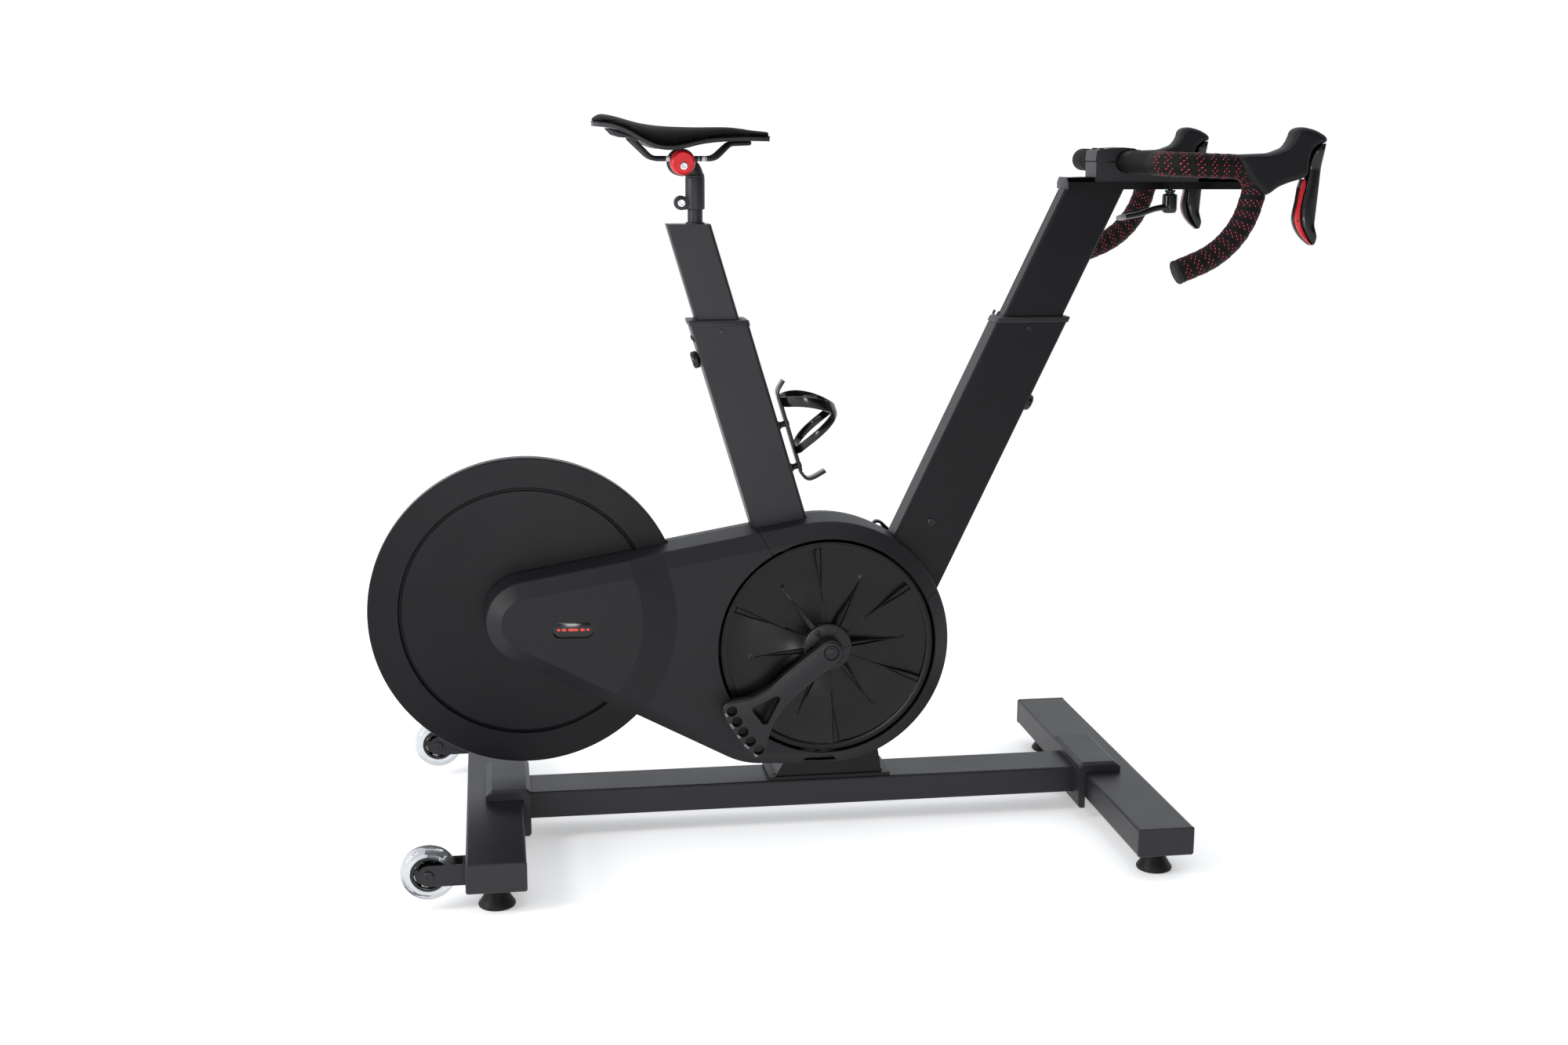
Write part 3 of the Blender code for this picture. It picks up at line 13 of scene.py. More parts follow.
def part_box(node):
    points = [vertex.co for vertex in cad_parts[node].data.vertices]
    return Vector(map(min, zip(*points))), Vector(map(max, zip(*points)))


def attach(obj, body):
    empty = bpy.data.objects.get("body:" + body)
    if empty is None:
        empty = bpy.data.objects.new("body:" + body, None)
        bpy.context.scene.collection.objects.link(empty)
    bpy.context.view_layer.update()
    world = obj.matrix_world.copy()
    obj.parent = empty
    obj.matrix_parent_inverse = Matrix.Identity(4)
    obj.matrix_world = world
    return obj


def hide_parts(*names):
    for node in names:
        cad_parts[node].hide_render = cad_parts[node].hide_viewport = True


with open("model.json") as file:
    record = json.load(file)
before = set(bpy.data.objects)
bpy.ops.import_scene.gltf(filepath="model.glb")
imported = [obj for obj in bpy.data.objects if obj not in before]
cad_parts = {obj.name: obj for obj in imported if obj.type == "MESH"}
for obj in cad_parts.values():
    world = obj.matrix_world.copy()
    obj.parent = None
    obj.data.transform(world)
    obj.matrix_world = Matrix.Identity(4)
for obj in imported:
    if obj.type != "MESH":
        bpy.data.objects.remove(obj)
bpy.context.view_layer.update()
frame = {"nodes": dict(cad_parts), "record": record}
NODES = frame["nodes"]
BODY_OF = {node: body for body, members in frame["record"]["behaviour"]["bodies"].items()
           for node in members}
SIDES = (("right", -1), ("left", 1))

Y_AXIS = Vector((0.0, 1.0, 0.0))
Z_AXIS = Vector((0.0, 0.0, 1.0))


# ---------------------------------------------------------------- camera, light, stage

LENS = 43.54
SENSOR_WIDTH = 36.0
CAMERA_PLACE = (-0.4690, -2.6835, 1.0207)
CAMERA_TURNS = ((-8.796, "Z"), (90.0 - 11.717, "X"), (0.245, "Z"))

# name, place, target, width, height, watts
LIGHTS = (
    ("key_light", (-2.6, -1.6, 2.6), (0.0, 0.0, 0.5), 0.8, 0.8, 30.0),
    ("top_light", (0.2, 0.2, 3.2), (0.0, 0.0, 0.4), 2.5, 2.0, 12.0),
    ("left_light", (-3.0, -1.0, 1.2), (-0.2, 0.0, 0.35), 0.9, 1.2, 44.0),
    ("low_light", (-0.35, -3.4, 0.38), (0.0, 0.0, 0.30), 0.7, 0.4, 15.0),
)
FRONT_LEFT_GLOW = 0.66
FRONT_RIGHT_GLOW = 0.08
BACKDROP_GLOW = 1.12
OVERHEAD_GLOW = 0.76
BACKDROP_TINT = (0.945, 0.965, 1.0, 1.0)
FLOOR_HALF = 15.0
FLOOR_SHADE = (0.95, 0.95, 0.95)
FLOOR_GLOW = 0.32


def link_object(name, data):
    """New object that holds some data, linked to the scene."""
    obj = bpy.data.objects.new(name, data)
    bpy.context.collection.objects.link(obj)
    return obj


def make_camera():
    """Camera a little above the bike, looking at its right side from slightly behind."""
    data = bpy.data.cameras.new("camera")
    data.lens = LENS
    data.sensor_width = SENSOR_WIDTH
    camera = link_object("camera", data)
    turn, tip, roll = (Matrix.Rotation(math.radians(angle), 3, axis) for angle, axis in CAMERA_TURNS)
    camera.matrix_world = Matrix.Translation(CAMERA_PLACE) @ (turn @ tip @ roll).to_4x4()
    bpy.context.scene.camera = camera


def area_light(name, location, target, width, height, power):
    """Rectangular soft box that faces a target."""
    data = bpy.data.lights.new(name, "AREA")
    data.shape = "RECTANGLE"
    data.size = width
    data.size_y = height
    data.energy = power
    light = link_object(name, data)
    light.location = location
    aim = Vector(target) - Vector(location)
    light.rotation_euler = aim.to_track_quat("-Z", "Y").to_euler()


def world_ramp(tree, value, low, high, at_low, at_high):
    """Smooth step of a direction's component between two values."""
    node = tree.nodes.new("ShaderNodeMapRange")
    node.interpolation_type = "SMOOTHSTEP"
    node.inputs["From Min"].default_value = low
    node.inputs["From Max"].default_value = high
    node.inputs["To Min"].default_value = at_low
    node.inputs["To Max"].default_value = at_high
    tree.links.new(value, node.inputs["Value"])
    return node.outputs["Result"]


def world_mix(tree, factor, first, second):
    """Blend two brightness values."""
    node = tree.nodes.new("ShaderNodeMix")
    tree.links.new(factor, node.inputs[0])
    for value, socket in ((first, node.inputs[2]), (second, node.inputs[3])):
        if isinstance(value, float):
            socket.default_value = value
        else:
            tree.links.new(value, socket)
    return node.outputs[0]


def make_world():
    """White backdrop, bright overhead, dimmer towards the front right."""
    world = bpy.data.worlds.new("studio")
    bpy.context.scene.world = world
    world.use_nodes = True
    tree = world.node_tree
    background = tree.nodes["Background"]
    direction = tree.nodes.new("ShaderNodeSeparateXYZ")
    coordinates = tree.nodes.new("ShaderNodeTexCoord")
    tree.links.new(coordinates.outputs["Generated"], direction.inputs["Vector"])
    side = world_ramp(tree, direction.outputs["X"], -0.15, 0.40, FRONT_LEFT_GLOW, FRONT_RIGHT_GLOW)
    behind = world_ramp(tree, direction.outputs["Y"], -0.30, 0.30, 0.0, 1.0)
    above = world_ramp(tree, direction.outputs["Z"], 0.35, 0.85, 0.0, 1.0)
    level = world_mix(tree, behind, side, BACKDROP_GLOW)
    glow = world_mix(tree, above, level, OVERHEAD_GLOW)
    seen = tree.nodes.new("ShaderNodeLightPath").outputs["Is Camera Ray"]
    glow = world_mix(tree, seen, glow, BACKDROP_GLOW)
    tree.links.new(glow, background.inputs["Strength"])
    background.inputs["Color"].default_value = BACKDROP_TINT


def make_studio():
    """White surroundings, four soft boxes and a pale floor."""
    scene = bpy.context.scene
    scene.view_settings.view_transform = "Standard"
    scene.view_settings.look = "None"
    make_world()
    for light in LIGHTS:
        area_light(*light)
    mesh = bpy.data.meshes.new("studio_floor")
    corners = ((-1, -1), (1, -1), (1, 1), (-1, 1))
    mesh.from_pydata([(x * FLOOR_HALF, y * FLOOR_HALF, 0.0) for x, y in corners], [], [(0, 1, 2, 3)])
    white = Finish("floor_white", FLOOR_SHADE, 0.9, specular=0.0)
    white.shader.inputs["Emission Color"].default_value = (1.0, 1.0, 1.0, 1.0)
    white.shader.inputs["Emission Strength"].default_value = FLOOR_GLOW
    mesh.materials.append(white.material)
    link_object("studio_floor", mesh)


# ---------------------------------------------------------------- materials

RAMP_STOPS = (0.3, 0.7)


class Finish:
    """A Principled material whose colour, roughness and bump come from a few noise layers."""

    def __init__(self, name, colour, roughness, metallic=0.0, specular=0.5):
        self.material = bpy.data.materials.new(name)
        self.material.use_nodes = True
        self.tree = self.material.node_tree
        self.shader = self.tree.nodes["Principled BSDF"]
        self.shader.inputs["Base Color"].default_value = (*colour, 1.0)
        self.shader.inputs["Roughness"].default_value = roughness
        self.shader.inputs["Metallic"].default_value = metallic
        self.shader.inputs["Specular IOR Level"].default_value = specular
        self.colour = colour
        self.roughness = roughness

    def node(self, kind, **inputs):
        """Add a node and set its input values."""
        made = self.tree.nodes.new(kind)
        for key, value in inputs.items():
            made.inputs[key].default_value = value
        return made

    def link(self, source, target):
        """Join an output socket to an input socket."""
        self.tree.links.new(source, target)

    def coordinates(self):
        """Object coordinates of the piece, in metres."""
        return self.tree.nodes.new("ShaderNodeTexCoord").outputs["Object"]

    def noise(self, scale, detail=2.0):
        """Factor output of a noise texture in object space."""
        texture = self.node("ShaderNodeTexNoise", Scale=scale, Detail=detail)
        self.link(self.coordinates(), texture.inputs["Vector"])
        return texture.outputs["Fac"]

    def spread(self, factor, low, high):
        """Map a 0..1 factor to a range."""
        mapped = self.node("ShaderNodeMapRange")
        mapped.inputs["To Min"].default_value = low
        mapped.inputs["To Max"].default_value = high
        self.link(factor, mapped.inputs["Value"])
        return mapped.outputs["Result"]

    def ramp(self, factor, dark, light):
        """Colour that runs from one shade to another as the factor rises."""
        ramp = self.tree.nodes.new("ShaderNodeValToRGB")
        stops = zip(ramp.color_ramp.elements, (dark, light), RAMP_STOPS)
        for element, shade, position in stops:
            element.color = (*shade, 1.0)
            element.position = position
        self.link(factor, ramp.inputs["Fac"])
        return ramp.outputs["Color"]

    def vary_roughness(self, scale, amount):
        """Let the roughness drift across the surface."""
        factor = self.noise(scale, 4.0)
        value = self.spread(factor, self.roughness - amount, self.roughness + amount)
        self.link(value, self.shader.inputs["Roughness"])

    def vary_colour(self, scale, share):
        """Let the colour drift between a darker and a lighter shade."""
        dark = [c * (1.0 - share) for c in self.colour]
        light = [min(1.0, c * (1.0 + share)) for c in self.colour]
        colour = self.ramp(self.noise(scale, 3.0), dark, light)
        self.link(colour, self.shader.inputs["Base Color"])

    def bump(self, height, depth):
        """Bump of a height pattern; depth is in metres."""
        layer = self.node("ShaderNodeBump", Distance=depth, Strength=1.0)
        self.link(height, layer.inputs["Height"])
        self.link(layer.outputs["Normal"], self.shader.inputs["Normal"])

    def pebbles(self, scale, depth):
        """Leather or moulded grain: cells parted by fine creases."""
        cells = self.node("ShaderNodeTexVoronoi", Scale=scale)
        cells.feature = "SMOOTH_F1"
        self.link(self.coordinates(), cells.inputs["Vector"])
        self.bump(cells.outputs["Distance"], depth)


# key: name, colour, roughness, metallic, specular, slot, then (scale, amount) of the drift in roughness and
# in colour, and the bump as (kind, scale, depth in metres)
FINISHES = {
    "coat": ("powder_coat", (0.0086, 0.0089, 0.0108), 0.42, 0.0, 0.34, "frame_paint",
             (9.0, 0.05), (30.0, 0.06), ("grain", 1100.0, 0.00006)),
    # darker copy of the frame paint: painted shade on the main frame, column, front mast and fork arms
    "coat_painted_shade": ("powder_coat_painted_shade", (0.0042, 0.0042, 0.0053), 0.40, 0.0, 0.20, "frame_paint",
                  (9.0, 0.05), (30.0, 0.06), ("grain", 1100.0, 0.00005)),
    "coat_seat": ("powder_coat_seat", (0.0118, 0.0121, 0.0142), 0.42, 0.0, 0.36, "frame_paint",
                  (9.0, 0.05), (30.0, 0.06), ("grain", 1100.0, 0.00005)),
    "housing": ("grained_housing", (0.0080, 0.0080, 0.0094), 0.50, 0.0, 0.24, "housing_plastic",
                (6.0, 0.04), (24.0, 0.05), ("grain", 1600.0, 0.00009)),
    "disc": ("flywheel_enamel", (0.0034, 0.0035, 0.0047), 0.36, 0.0, 0.17, "flywheel_steel",
             (14.0, 0.06), (9.0, 0.14), ("grain", 900.0, 0.00002)),
    "trim": ("moulded_trim", (0.0125, 0.0127, 0.0146), 0.44, 0.0, 0.34, "trim_plastic",
             (12.0, 0.05), None, ("grain", 1800.0, 0.00006)),
    "rubber": ("black_rubber", (0.0050, 0.0050, 0.0057), 0.55, 0.0, 0.25, "foot_rubber",
               (30.0, 0.08), None, ("grain", 900.0, 0.00008)),
    "hood": ("hood_rubber", (0.0046, 0.0048, 0.0057), 0.50, 0.0, 0.20, "hood_rubber",
             (26.0, 0.06), None, ("pebbles", 1300.0, 0.00006)),
    "pulley": ("moulded_pulley", (0.0022, 0.0021, 0.0025), 0.26, 0.0, 0.24, "pulley_plastic",
               (18.0, 0.10), (16.0, 0.15), ("grain", 240.0, 0.00006)),
    "alloy": ("black_anodised", (0.0060, 0.0062, 0.0073), 0.36, 0.0, 0.32, "crank_alloy",
              (25.0, 0.05), None, ("grain", 2400.0, 0.00005)),
    "gloss": ("gloss_black", (0.0026, 0.0026, 0.0031), 0.15, 0.0, 0.40, "lever_gloss",
              (20.0, 0.04), None, ("grain", 60.0, 0.00004)),
    "steel": ("bright_steel", (0.55, 0.55, 0.56), 0.28, 1.0, 0.5, "bright_steel",
              (60.0, 0.08), None, ("grain", 800.0, 0.00002)),
    "dark": ("black_oxide_steel", (0.012, 0.012, 0.014), 0.30, 0.4, 0.5, "dark_steel",
             (60.0, 0.06), None, ("grain", 1200.0, 0.00004)),
    "red": ("red_anodised", (0.56, 0.008, 0.016), 0.34, 0.30, 0.5, "red_anodised",
            (40.0, 0.05), (50.0, 0.08), None),
    "paddle": ("gloss_red", (0.50, 0.012, 0.018), 0.20, 0.0, 0.5, "paddle_red",
               (30.0, 0.04), (60.0, 0.05), None),
    "leather": ("saddle_cover", (0.0020, 0.0020, 0.0025), 0.50, 0.0, 0.05, "saddle_cover",
                (40.0, 0.06), None, ("pebbles", 1100.0, 0.00010)),
    "tape": ("bar_tape", (0.0032, 0.0026, 0.0030), 0.60, 0.0, 0.14, "bar_tape",
             None, (120.0, 0.25), ("grain", 700.0, 0.00015)),
    "dots": ("tape_dots", (0.58, 0.045, 0.075), 0.60, 0.0, 0.3, "bar_tape",
             (80.0, 0.05), (400.0, 0.30), None),
    "marks": ("printed_marks", (0.55, 0.56, 0.57), 0.55, 0.0, 0.5, "crank_alloy",
              (200.0, 0.05), (900.0, 0.10), None),
    "tip": ("grey_tip", (0.20, 0.205, 0.215), 0.35, 0.0, 0.5, "bright_steel",
            (90.0, 0.05), (200.0, 0.08), None),
    "badge": ("badge_red", (0.62, 0.035, 0.025), 0.35, 0.0, 0.5, "housing_plastic",
              (90.0, 0.04), (300.0, 0.06), None),
    "clear": ("clear_urethane", (0.62, 0.64, 0.66), 0.03, 0.0, 0.5, "tyre_clear",
              (50.0, 0.03), None, None),
}
CLEAR_TRANSMISSION = 0.92
CLEAR_INDEX = 1.46


def make_finishes():
    """Every finish of the bike, by key."""
    made = {}
    for key, (name, colour, roughness, metallic, specular, _, rough, tint, bump) in FINISHES.items():
        finish = Finish(name, colour, roughness, metallic, specular)
        if key == "clear":
            finish.shader.inputs["Transmission Weight"].default_value = CLEAR_TRANSMISSION
            finish.shader.inputs["IOR"].default_value = CLEAR_INDEX
        if rough:
            finish.vary_roughness(*rough)
        if tint:
            finish.vary_colour(*tint)
        if bump and bump[0] == "pebbles":
            finish.pebbles(*bump[1:])
        elif bump:
            finish.bump(finish.noise(bump[1]), bump[2])
        made[key] = finish.material
    return made


# ---------------------------------------------------------------- geometry helpers

def vec(x, z, y=0.0):
    """A point given by its side-view position first."""
    return Vector((x, y, z))


def arc(centre, radius, start, stop, steps):
    """Points (x, z) of an arc, both ends included, angles in degrees."""
    points = []
    for k in range(steps + 1):
        angle = math.radians(start + (stop - start) * k / steps)
        points.append((centre[0] + radius * math.cos(angle), centre[1] + radius * math.sin(angle)))
    return points


def circle(centre, radius, steps):
    """Points (x, z) of a whole circle."""
    return arc(centre, radius, 0.0, 360.0, steps)[:-1]


def rounded(points, radius, steps=3, closed=True):
    """Polyline whose corners are replaced by short curves; radius is one value or one per corner."""
    count = len(points)
    radii = radius if isinstance(radius, (list, tuple)) else [radius] * count
    result = []
    for i, here in enumerate(points):
        if not closed and i in (0, count - 1):
            result.append(tuple(here))
            continue
        corner = Vector(here)
        before = Vector(points[i - 1]) - corner
        after = Vector(points[(i + 1) % count]) - corner
        reach = min(radii[i], before.length * 0.48, after.length * 0.48)
        if reach < 1e-6:
            result.append(tuple(here))
            continue
        first = corner + before.normalized() * reach
        last = corner + after.normalized() * reach
        for k in range(steps + 1):
            t = k / steps
            point = first * (1 - t) ** 2 + corner * (2 * t * (1 - t)) + last * t ** 2
            result.append(tuple(point))
    return result


def inset(outline, amount):
    """Closed (x, z) outline moved inwards along its own normals; it runs counterclockwise."""
    count = len(outline)
    moved = []
    for i, here in enumerate(outline):
        before = Vector(outline[i - 1])
        after = Vector(outline[(i + 1) % count])
        first = (Vector(here) - before).normalized()
        second = (after - Vector(here)).normalized()
        tangent = (first + second).normalized()
        scale = 1.0 / max(0.5, tangent.dot(first))
        moved.append((here[0] - tangent.y * amount * scale, here[1] + tangent.x * amount * scale))
    return moved


def counterclockwise(outline):
    """The same (x, z) outline, running counterclockwise."""
    area = sum(a[0] * b[1] - b[0] * a[1] for a, b in zip(outline, outline[1:] + outline[:1]))
    return list(outline) if area > 0 else list(reversed(outline))


def skin(bm, rows, caps=True, loop=False):
    """Grid of faces between rows of points; caps fill both ends, loop joins the last to the first."""
    grid = [[bm.verts.new(point) for point in row] for row in rows]
    pairs = list(zip(grid, grid[1:]))
    if loop:
        pairs.append((grid[-1], grid[0]))
    count = len(grid[0])
    for lower, upper in pairs:
        for i in range(count):
            j = (i + 1) % count
            bm.faces.new((lower[i], lower[j], upper[j], upper[i]))
    if caps and not loop:
        bm.faces.new(grid[0])
        bm.faces.new(grid[-1])
    return grid


def skinned(rows, **options):
    """New bmesh that holds one skin."""
    bm = bmesh.new()
    skin(bm, rows, **options)
    return bm


def axes_of(axis):
    """Two unit vectors across an axis."""
    along = Vector(axis).normalized()
    across = along.orthogonal().normalized()
    return along, across, along.cross(across)


def ring_about(centre, axes, distance, reaches):
    """Ring of points round an axis, at a distance along it, with one reach for each point."""
    along, across, third = axes
    ring = []
    for k, reach in enumerate(reaches):
        angle = math.tau * k / len(reaches)
        spoke = across * math.cos(angle) + third * math.sin(angle)
        ring.append(Vector(centre) + along * distance + spoke * reach)
    return ring


def lathe(bm, profile, centre, axis, segments, hollow=False):
    """Turned shape: profile holds (radius, distance) pairs; hollow joins the profile's ends."""
    axes = axes_of(axis)
    skin(bm, [ring_about(centre, axes, distance, [radius] * segments) for radius, distance in profile],
         loop=hollow)


def turned(profile, centre, axis, segments, hollow=False):
    """New bmesh that holds one turned shape."""
    bm = bmesh.new()
    lathe(bm, profile, centre, axis, segments, hollow)
    return bm


def path_frames(path, up=None):
    """Direction, side and height vectors along a path; up fixes the height, or it turns least."""
    frames = []
    side = None
    for i in range(len(path)):
        ahead = (path[min(i + 1, len(path) - 1)] - path[max(i - 1, 0)]).normalized()
        if up is not None:
            side = ahead.cross(up).normalized()
        else:
            side = ahead.orthogonal() if side is None else side - ahead * side.dot(ahead)
            side.normalize()
        frames.append((ahead, side, side.cross(ahead).normalized()))
    return frames


def sweep(bm, path, sections, up=None):
    """Carry a section along a path; sections is one list of (side, height), or one per point."""
    if not isinstance(sections[0][0], (list, tuple)):
        sections = [sections] * len(path)
    rows = []
    for point, (_, side, height), section in zip(path, path_frames(path, up), sections):
        rows.append([point + side * a + height * b for a, b in section])
    skin(bm, rows)


def strip(half, sunk, top, proud):
    """Section of a fine raised line, with the half width of its sunk base and of its top."""
    return [(-half, -sunk), (half, -sunk), (top, proud), (-top, proud)]


def tube(bm, path, radius, segments=16):
    """Round tube with closed ends; radius is one value or one per point."""
    radii = radius if isinstance(radius, (list, tuple)) else [radius] * len(path)
    sweep(bm, path, [circle((0.0, 0.0), r, segments) for r in radii])


def smooth_path(points, steps=6):
    """Catmull-Rom curve through points, ends included."""
    points = [Vector(p) for p in points]
    ends = [points[0] * 2 - points[1]] + points + [points[-1] * 2 - points[-2]]
    result = []
    for a, b, c, d in zip(ends, ends[1:], ends[2:], ends[3:]):
        for k in range(steps):
            t = k / steps
            result.append(0.5 * ((2 * b) + (c - a) * t + (2 * a - 5 * b + 4 * c - d) * t ** 2
                                 + (3 * b - a - 3 * c + d) * t ** 3))
    result.append(points[-1])
    return result


def filleted_path(corners, radii, steps):
    """Centreline of a bent tube: straight between corners, round at each of them."""
    path = [Vector(corners[0])]
    for before, here, after, radius in zip(corners, corners[1:], corners[2:], radii):
        here = Vector(here)
        inward = (Vector(before) - here).normalized()
        outward = (Vector(after) - here).normalized()
        half = inward.angle(outward) / 2.0
        reach = radius / math.tan(half)
        centre = here + (inward + outward).normalized() * (radius / math.sin(half))
        first = (here + inward * reach - centre).normalized()
        last = (here + outward * reach - centre).normalized()
        for k in range(steps + 1):
            path.append(centre + first.slerp(last, k / steps) * radius)
    path.append(Vector(corners[-1]))
    return path


def plate(bm, outline, y_low, y_high, soft):
    """Flat plate in XZ with softened edges on both faces."""
    outline = counterclockwise(outline)
    steps = ((y_low, soft), (y_low + soft * 0.3, soft * 0.3), (y_low + soft, 0.0),
             (y_high - soft, 0.0), (y_high - soft * 0.3, soft * 0.3), (y_high, soft))
    rows = []
    for y, amount in steps:
        ring = inset(outline, amount) if amount else outline
        rows.append([(x, y, z) for x, z in ring])
    skin(bm, rows)


def paint(mesh, finish):
    """Give a mesh one finish and no other."""
    mesh.materials.clear()
    mesh.materials.append(FINISH[finish])


def make_object(name, bm, finish, sharp=28.0):
    """Turn a bmesh into a smooth-shaded object with one finish."""
    bmesh.ops.recalc_face_normals(bm, faces=bm.faces)
    mesh = bpy.data.meshes.new(name)
    bm.to_mesh(mesh)
    bm.free()
    paint(mesh, finish)
    mesh.shade_smooth()
    mesh.set_sharp_from_angle(angle=math.radians(sharp))
    return link_object(name, mesh)


def place(obj, finish, nodes, stands_for=True):
    """Let a piece ride with the CAD nodes that it replaces, or that it is fixed to."""
    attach(obj, BODY_OF[nodes[0]])
    if stands_for:
        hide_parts(*nodes)
    return obj


def piece(name, bm, finish, *nodes, sharp=28.0):
    """A detailed piece that stands for CAD nodes."""
    return place(make_object(name, bm, finish, sharp), finish, nodes)


def detail(name, bm, finish, node, sharp=28.0):
    """A small extra piece fixed to a CAD node."""
    return place(make_object(name, bm, finish, sharp), finish, (node,), stands_for=False)


def modify(obj, kind, **settings):
    """Add a modifier with its settings."""
    modifier = obj.modifiers.new(kind.lower(), kind)
    for key, value in settings.items():
        setattr(modifier, key, value)
    return modifier


def settle(obj):
    """Apply an object's modifiers to its mesh."""
    graph = bpy.context.evaluated_depsgraph_get()
    graph.update()
    mesh = bpy.data.meshes.new_from_object(obj.evaluated_get(graph), depsgraph=graph)
    obj.modifiers.clear()
    obj.data = mesh


def carve(obj, cutters):
    """Cut bmesh shapes out of an object and apply the result."""
    body = bmesh.new()
    body.from_mesh(obj.data)
    bmesh.ops.triangulate(body, faces=body.faces)
    body.to_mesh(obj.data)
    body.free()
    for k, cutter in enumerate(cutters):
        bmesh.ops.recalc_face_normals(cutter, faces=cutter.faces)
        bmesh.ops.triangulate(cutter, faces=cutter.faces)
        mesh = bpy.data.meshes.new(f"{obj.name}_cutter_{k}")
        cutter.to_mesh(mesh)
        cutter.free()
        tool = link_object(mesh.name, mesh)
        modify(obj, "BOOLEAN", operation="DIFFERENCE", object=tool, solver="MANIFOLD")
        settle(obj)
        bpy.data.objects.remove(tool)
    obj.data.shade_smooth()
    obj.data.set_sharp_from_angle(angle=math.radians(28.0))


def soften(node, width=0.0009, segments=3, angle=40.0):
    """Rounded edges on a CAD node, as a modifier."""
    modify(NODES[node], "BEVEL", width=width, segments=segments, limit_method="ANGLE",
           angle_limit=math.radians(angle), harden_normals=True)


def cap_screw(bm, centre, axis, radius, height, socket=0.55, segments=24):
    """Round head with a hexagon socket; it stands on the surface at centre."""
    profile = rounded([(radius * 1.02, 0.0), (radius, height), (radius * socket * 1.15, height)],
                      height * 0.45, 3, closed=False)
    axes = axes_of(axis)
    rows = [ring_about(centre, axes, distance, [r] * segments) for r, distance in profile]
    hexagon = []
    for k in range(segments):
        wedge = (math.tau * k / segments + math.pi / 6) % (math.pi / 3) - math.pi / 6
        hexagon.append(radius * socket * math.cos(math.pi / 6) / math.cos(wedge))
    rows += [ring_about(centre, axes, depth, hexagon) for depth in (height * 0.98, height * 0.25)]
    skin(bm, rows)


def screws(name, finish, node, spots, *sizes):
    """One detail made of equal screws; spots holds their (centre, axis) pairs."""
    bm = bmesh.new()
    for centre, axis in spots:
        cap_screw(bm, centre, axis, *sizes)
    detail(name, bm, finish, node)


# ---------------------------------------------------------------- slanted tubes

def mast_frame(point, tilt):
    """Origin, direction and across vector of a slanted mast, in the plane y = 0."""
    along = Vector((math.sin(tilt), 0.0, math.cos(tilt)))
    across = Vector((math.cos(tilt), 0.0, -math.sin(tilt)))
    return vec(*point), along, across


SEAT = mast_frame((-0.1504, 0.750), math.radians(-16.75))
COLUMN = mast_frame((0.3054, 0.750), math.radians(25.2))


def on_mast(mast, z, u, v=0.0):
    """A point of a mast's frame: its centreline at height z, then u across and v sideways."""
    origin, along, across = mast
    return origin + along * ((z - origin.z) / along.z) + across * u + Y_AXIS * v


def box_corners(half):
    """Corners of a rectangle round the origin."""
    return [(-half[0], -half[1]), (half[0], -half[1]), (half[0], half[1]), (-half[0], half[1])]


def level_ring(mast, half, z, radius):
    """Section of a slanted tube cut level at height z."""
    origin, along, across = mast
    ring = []
    for u, v in rounded(box_corners(half), radius, 4):
        distance = (z - origin.z - across.z * u) / along.z
        ring.append(origin + along * distance + across * u + Y_AXIS * v)
    return ring


def square_ring(mast, half, z):
    """Section of a slanted tube cut square where its centreline is at height z."""
    return [on_mast(mast, z, u, v) for u, v in rounded(box_corners(half), 0.004, 4)]


make_camera()
make_studio()
FINISH = make_finishes()


# ---------------------------------------------------------------- flywheel and drive covers

# (x, z) of the wheel, the big pulley and the round at the cover's low corner, and the cover's measures
FLYWHEEL = (-0.430, 0.338)
FLYWHEEL_RADIUS = 0.225
DRUM = (0.0, 0.2865)
CORNER = (-0.0925, 0.2208)
DRUM_RADIUS = 0.182
NOSE_RADIUS = 0.0575
CORNER_RADIUS = 0.112
WALL = 0.003
FACE_INSET = 0.0222
CONE_INNER = 0.162
CONE_OUTER = 0.211
FACE_REAR_Y = 0.084
FACE_FRONT_Y = 0.072
SLOT_RADIUS = 0.227
SLOT_HALF = 0.0115


def flywheel():
    """Heavy disc: a groove parts the rim from the web, on both sides."""
    half = 0.010
    web = 0.0074
    near = [(0.0088, -0.0180), (0.0335, -0.0180), (0.0350, -0.0165), (0.0350, -web - 0.0006),
            (0.0360, -web), (0.1768, -web), (0.1776, -web + 0.0006), (0.1780, -0.0052),
            (0.1806, -0.0048), (0.1812, -0.0054), (0.1818, -half + 0.0006), (0.1826, -half)]
    near += [(FLYWHEEL_RADIUS - 0.0016, -half), (FLYWHEEL_RADIUS - 0.0005, -half + 0.0005),
             (FLYWHEEL_RADIUS, -half + 0.0016)]
    far = [(r, -d) for r, d in reversed(near)]
    bm = turned(near + far, vec(*FLYWHEEL), Y_AXIS, 256, hollow=True)
    piece("flywheel_disc", bm, "disc", "flywheel", sharp=20.0)


def tangent_angles(circles):
    """Angle of each straight run's outward normal on the belt round (centre, radius) circles."""
    angles = []
    for (here, radius), (after, next_radius) in zip(circles, circles[1:] + circles[:1]):
        dx = after[0] - here[0]
        dz = after[1] - here[1]
        spread = math.asin((radius - next_radius) / math.hypot(dx, dz))
        angles.append(math.degrees(math.atan2(dz, dx) + spread) - 90.0)
    return angles


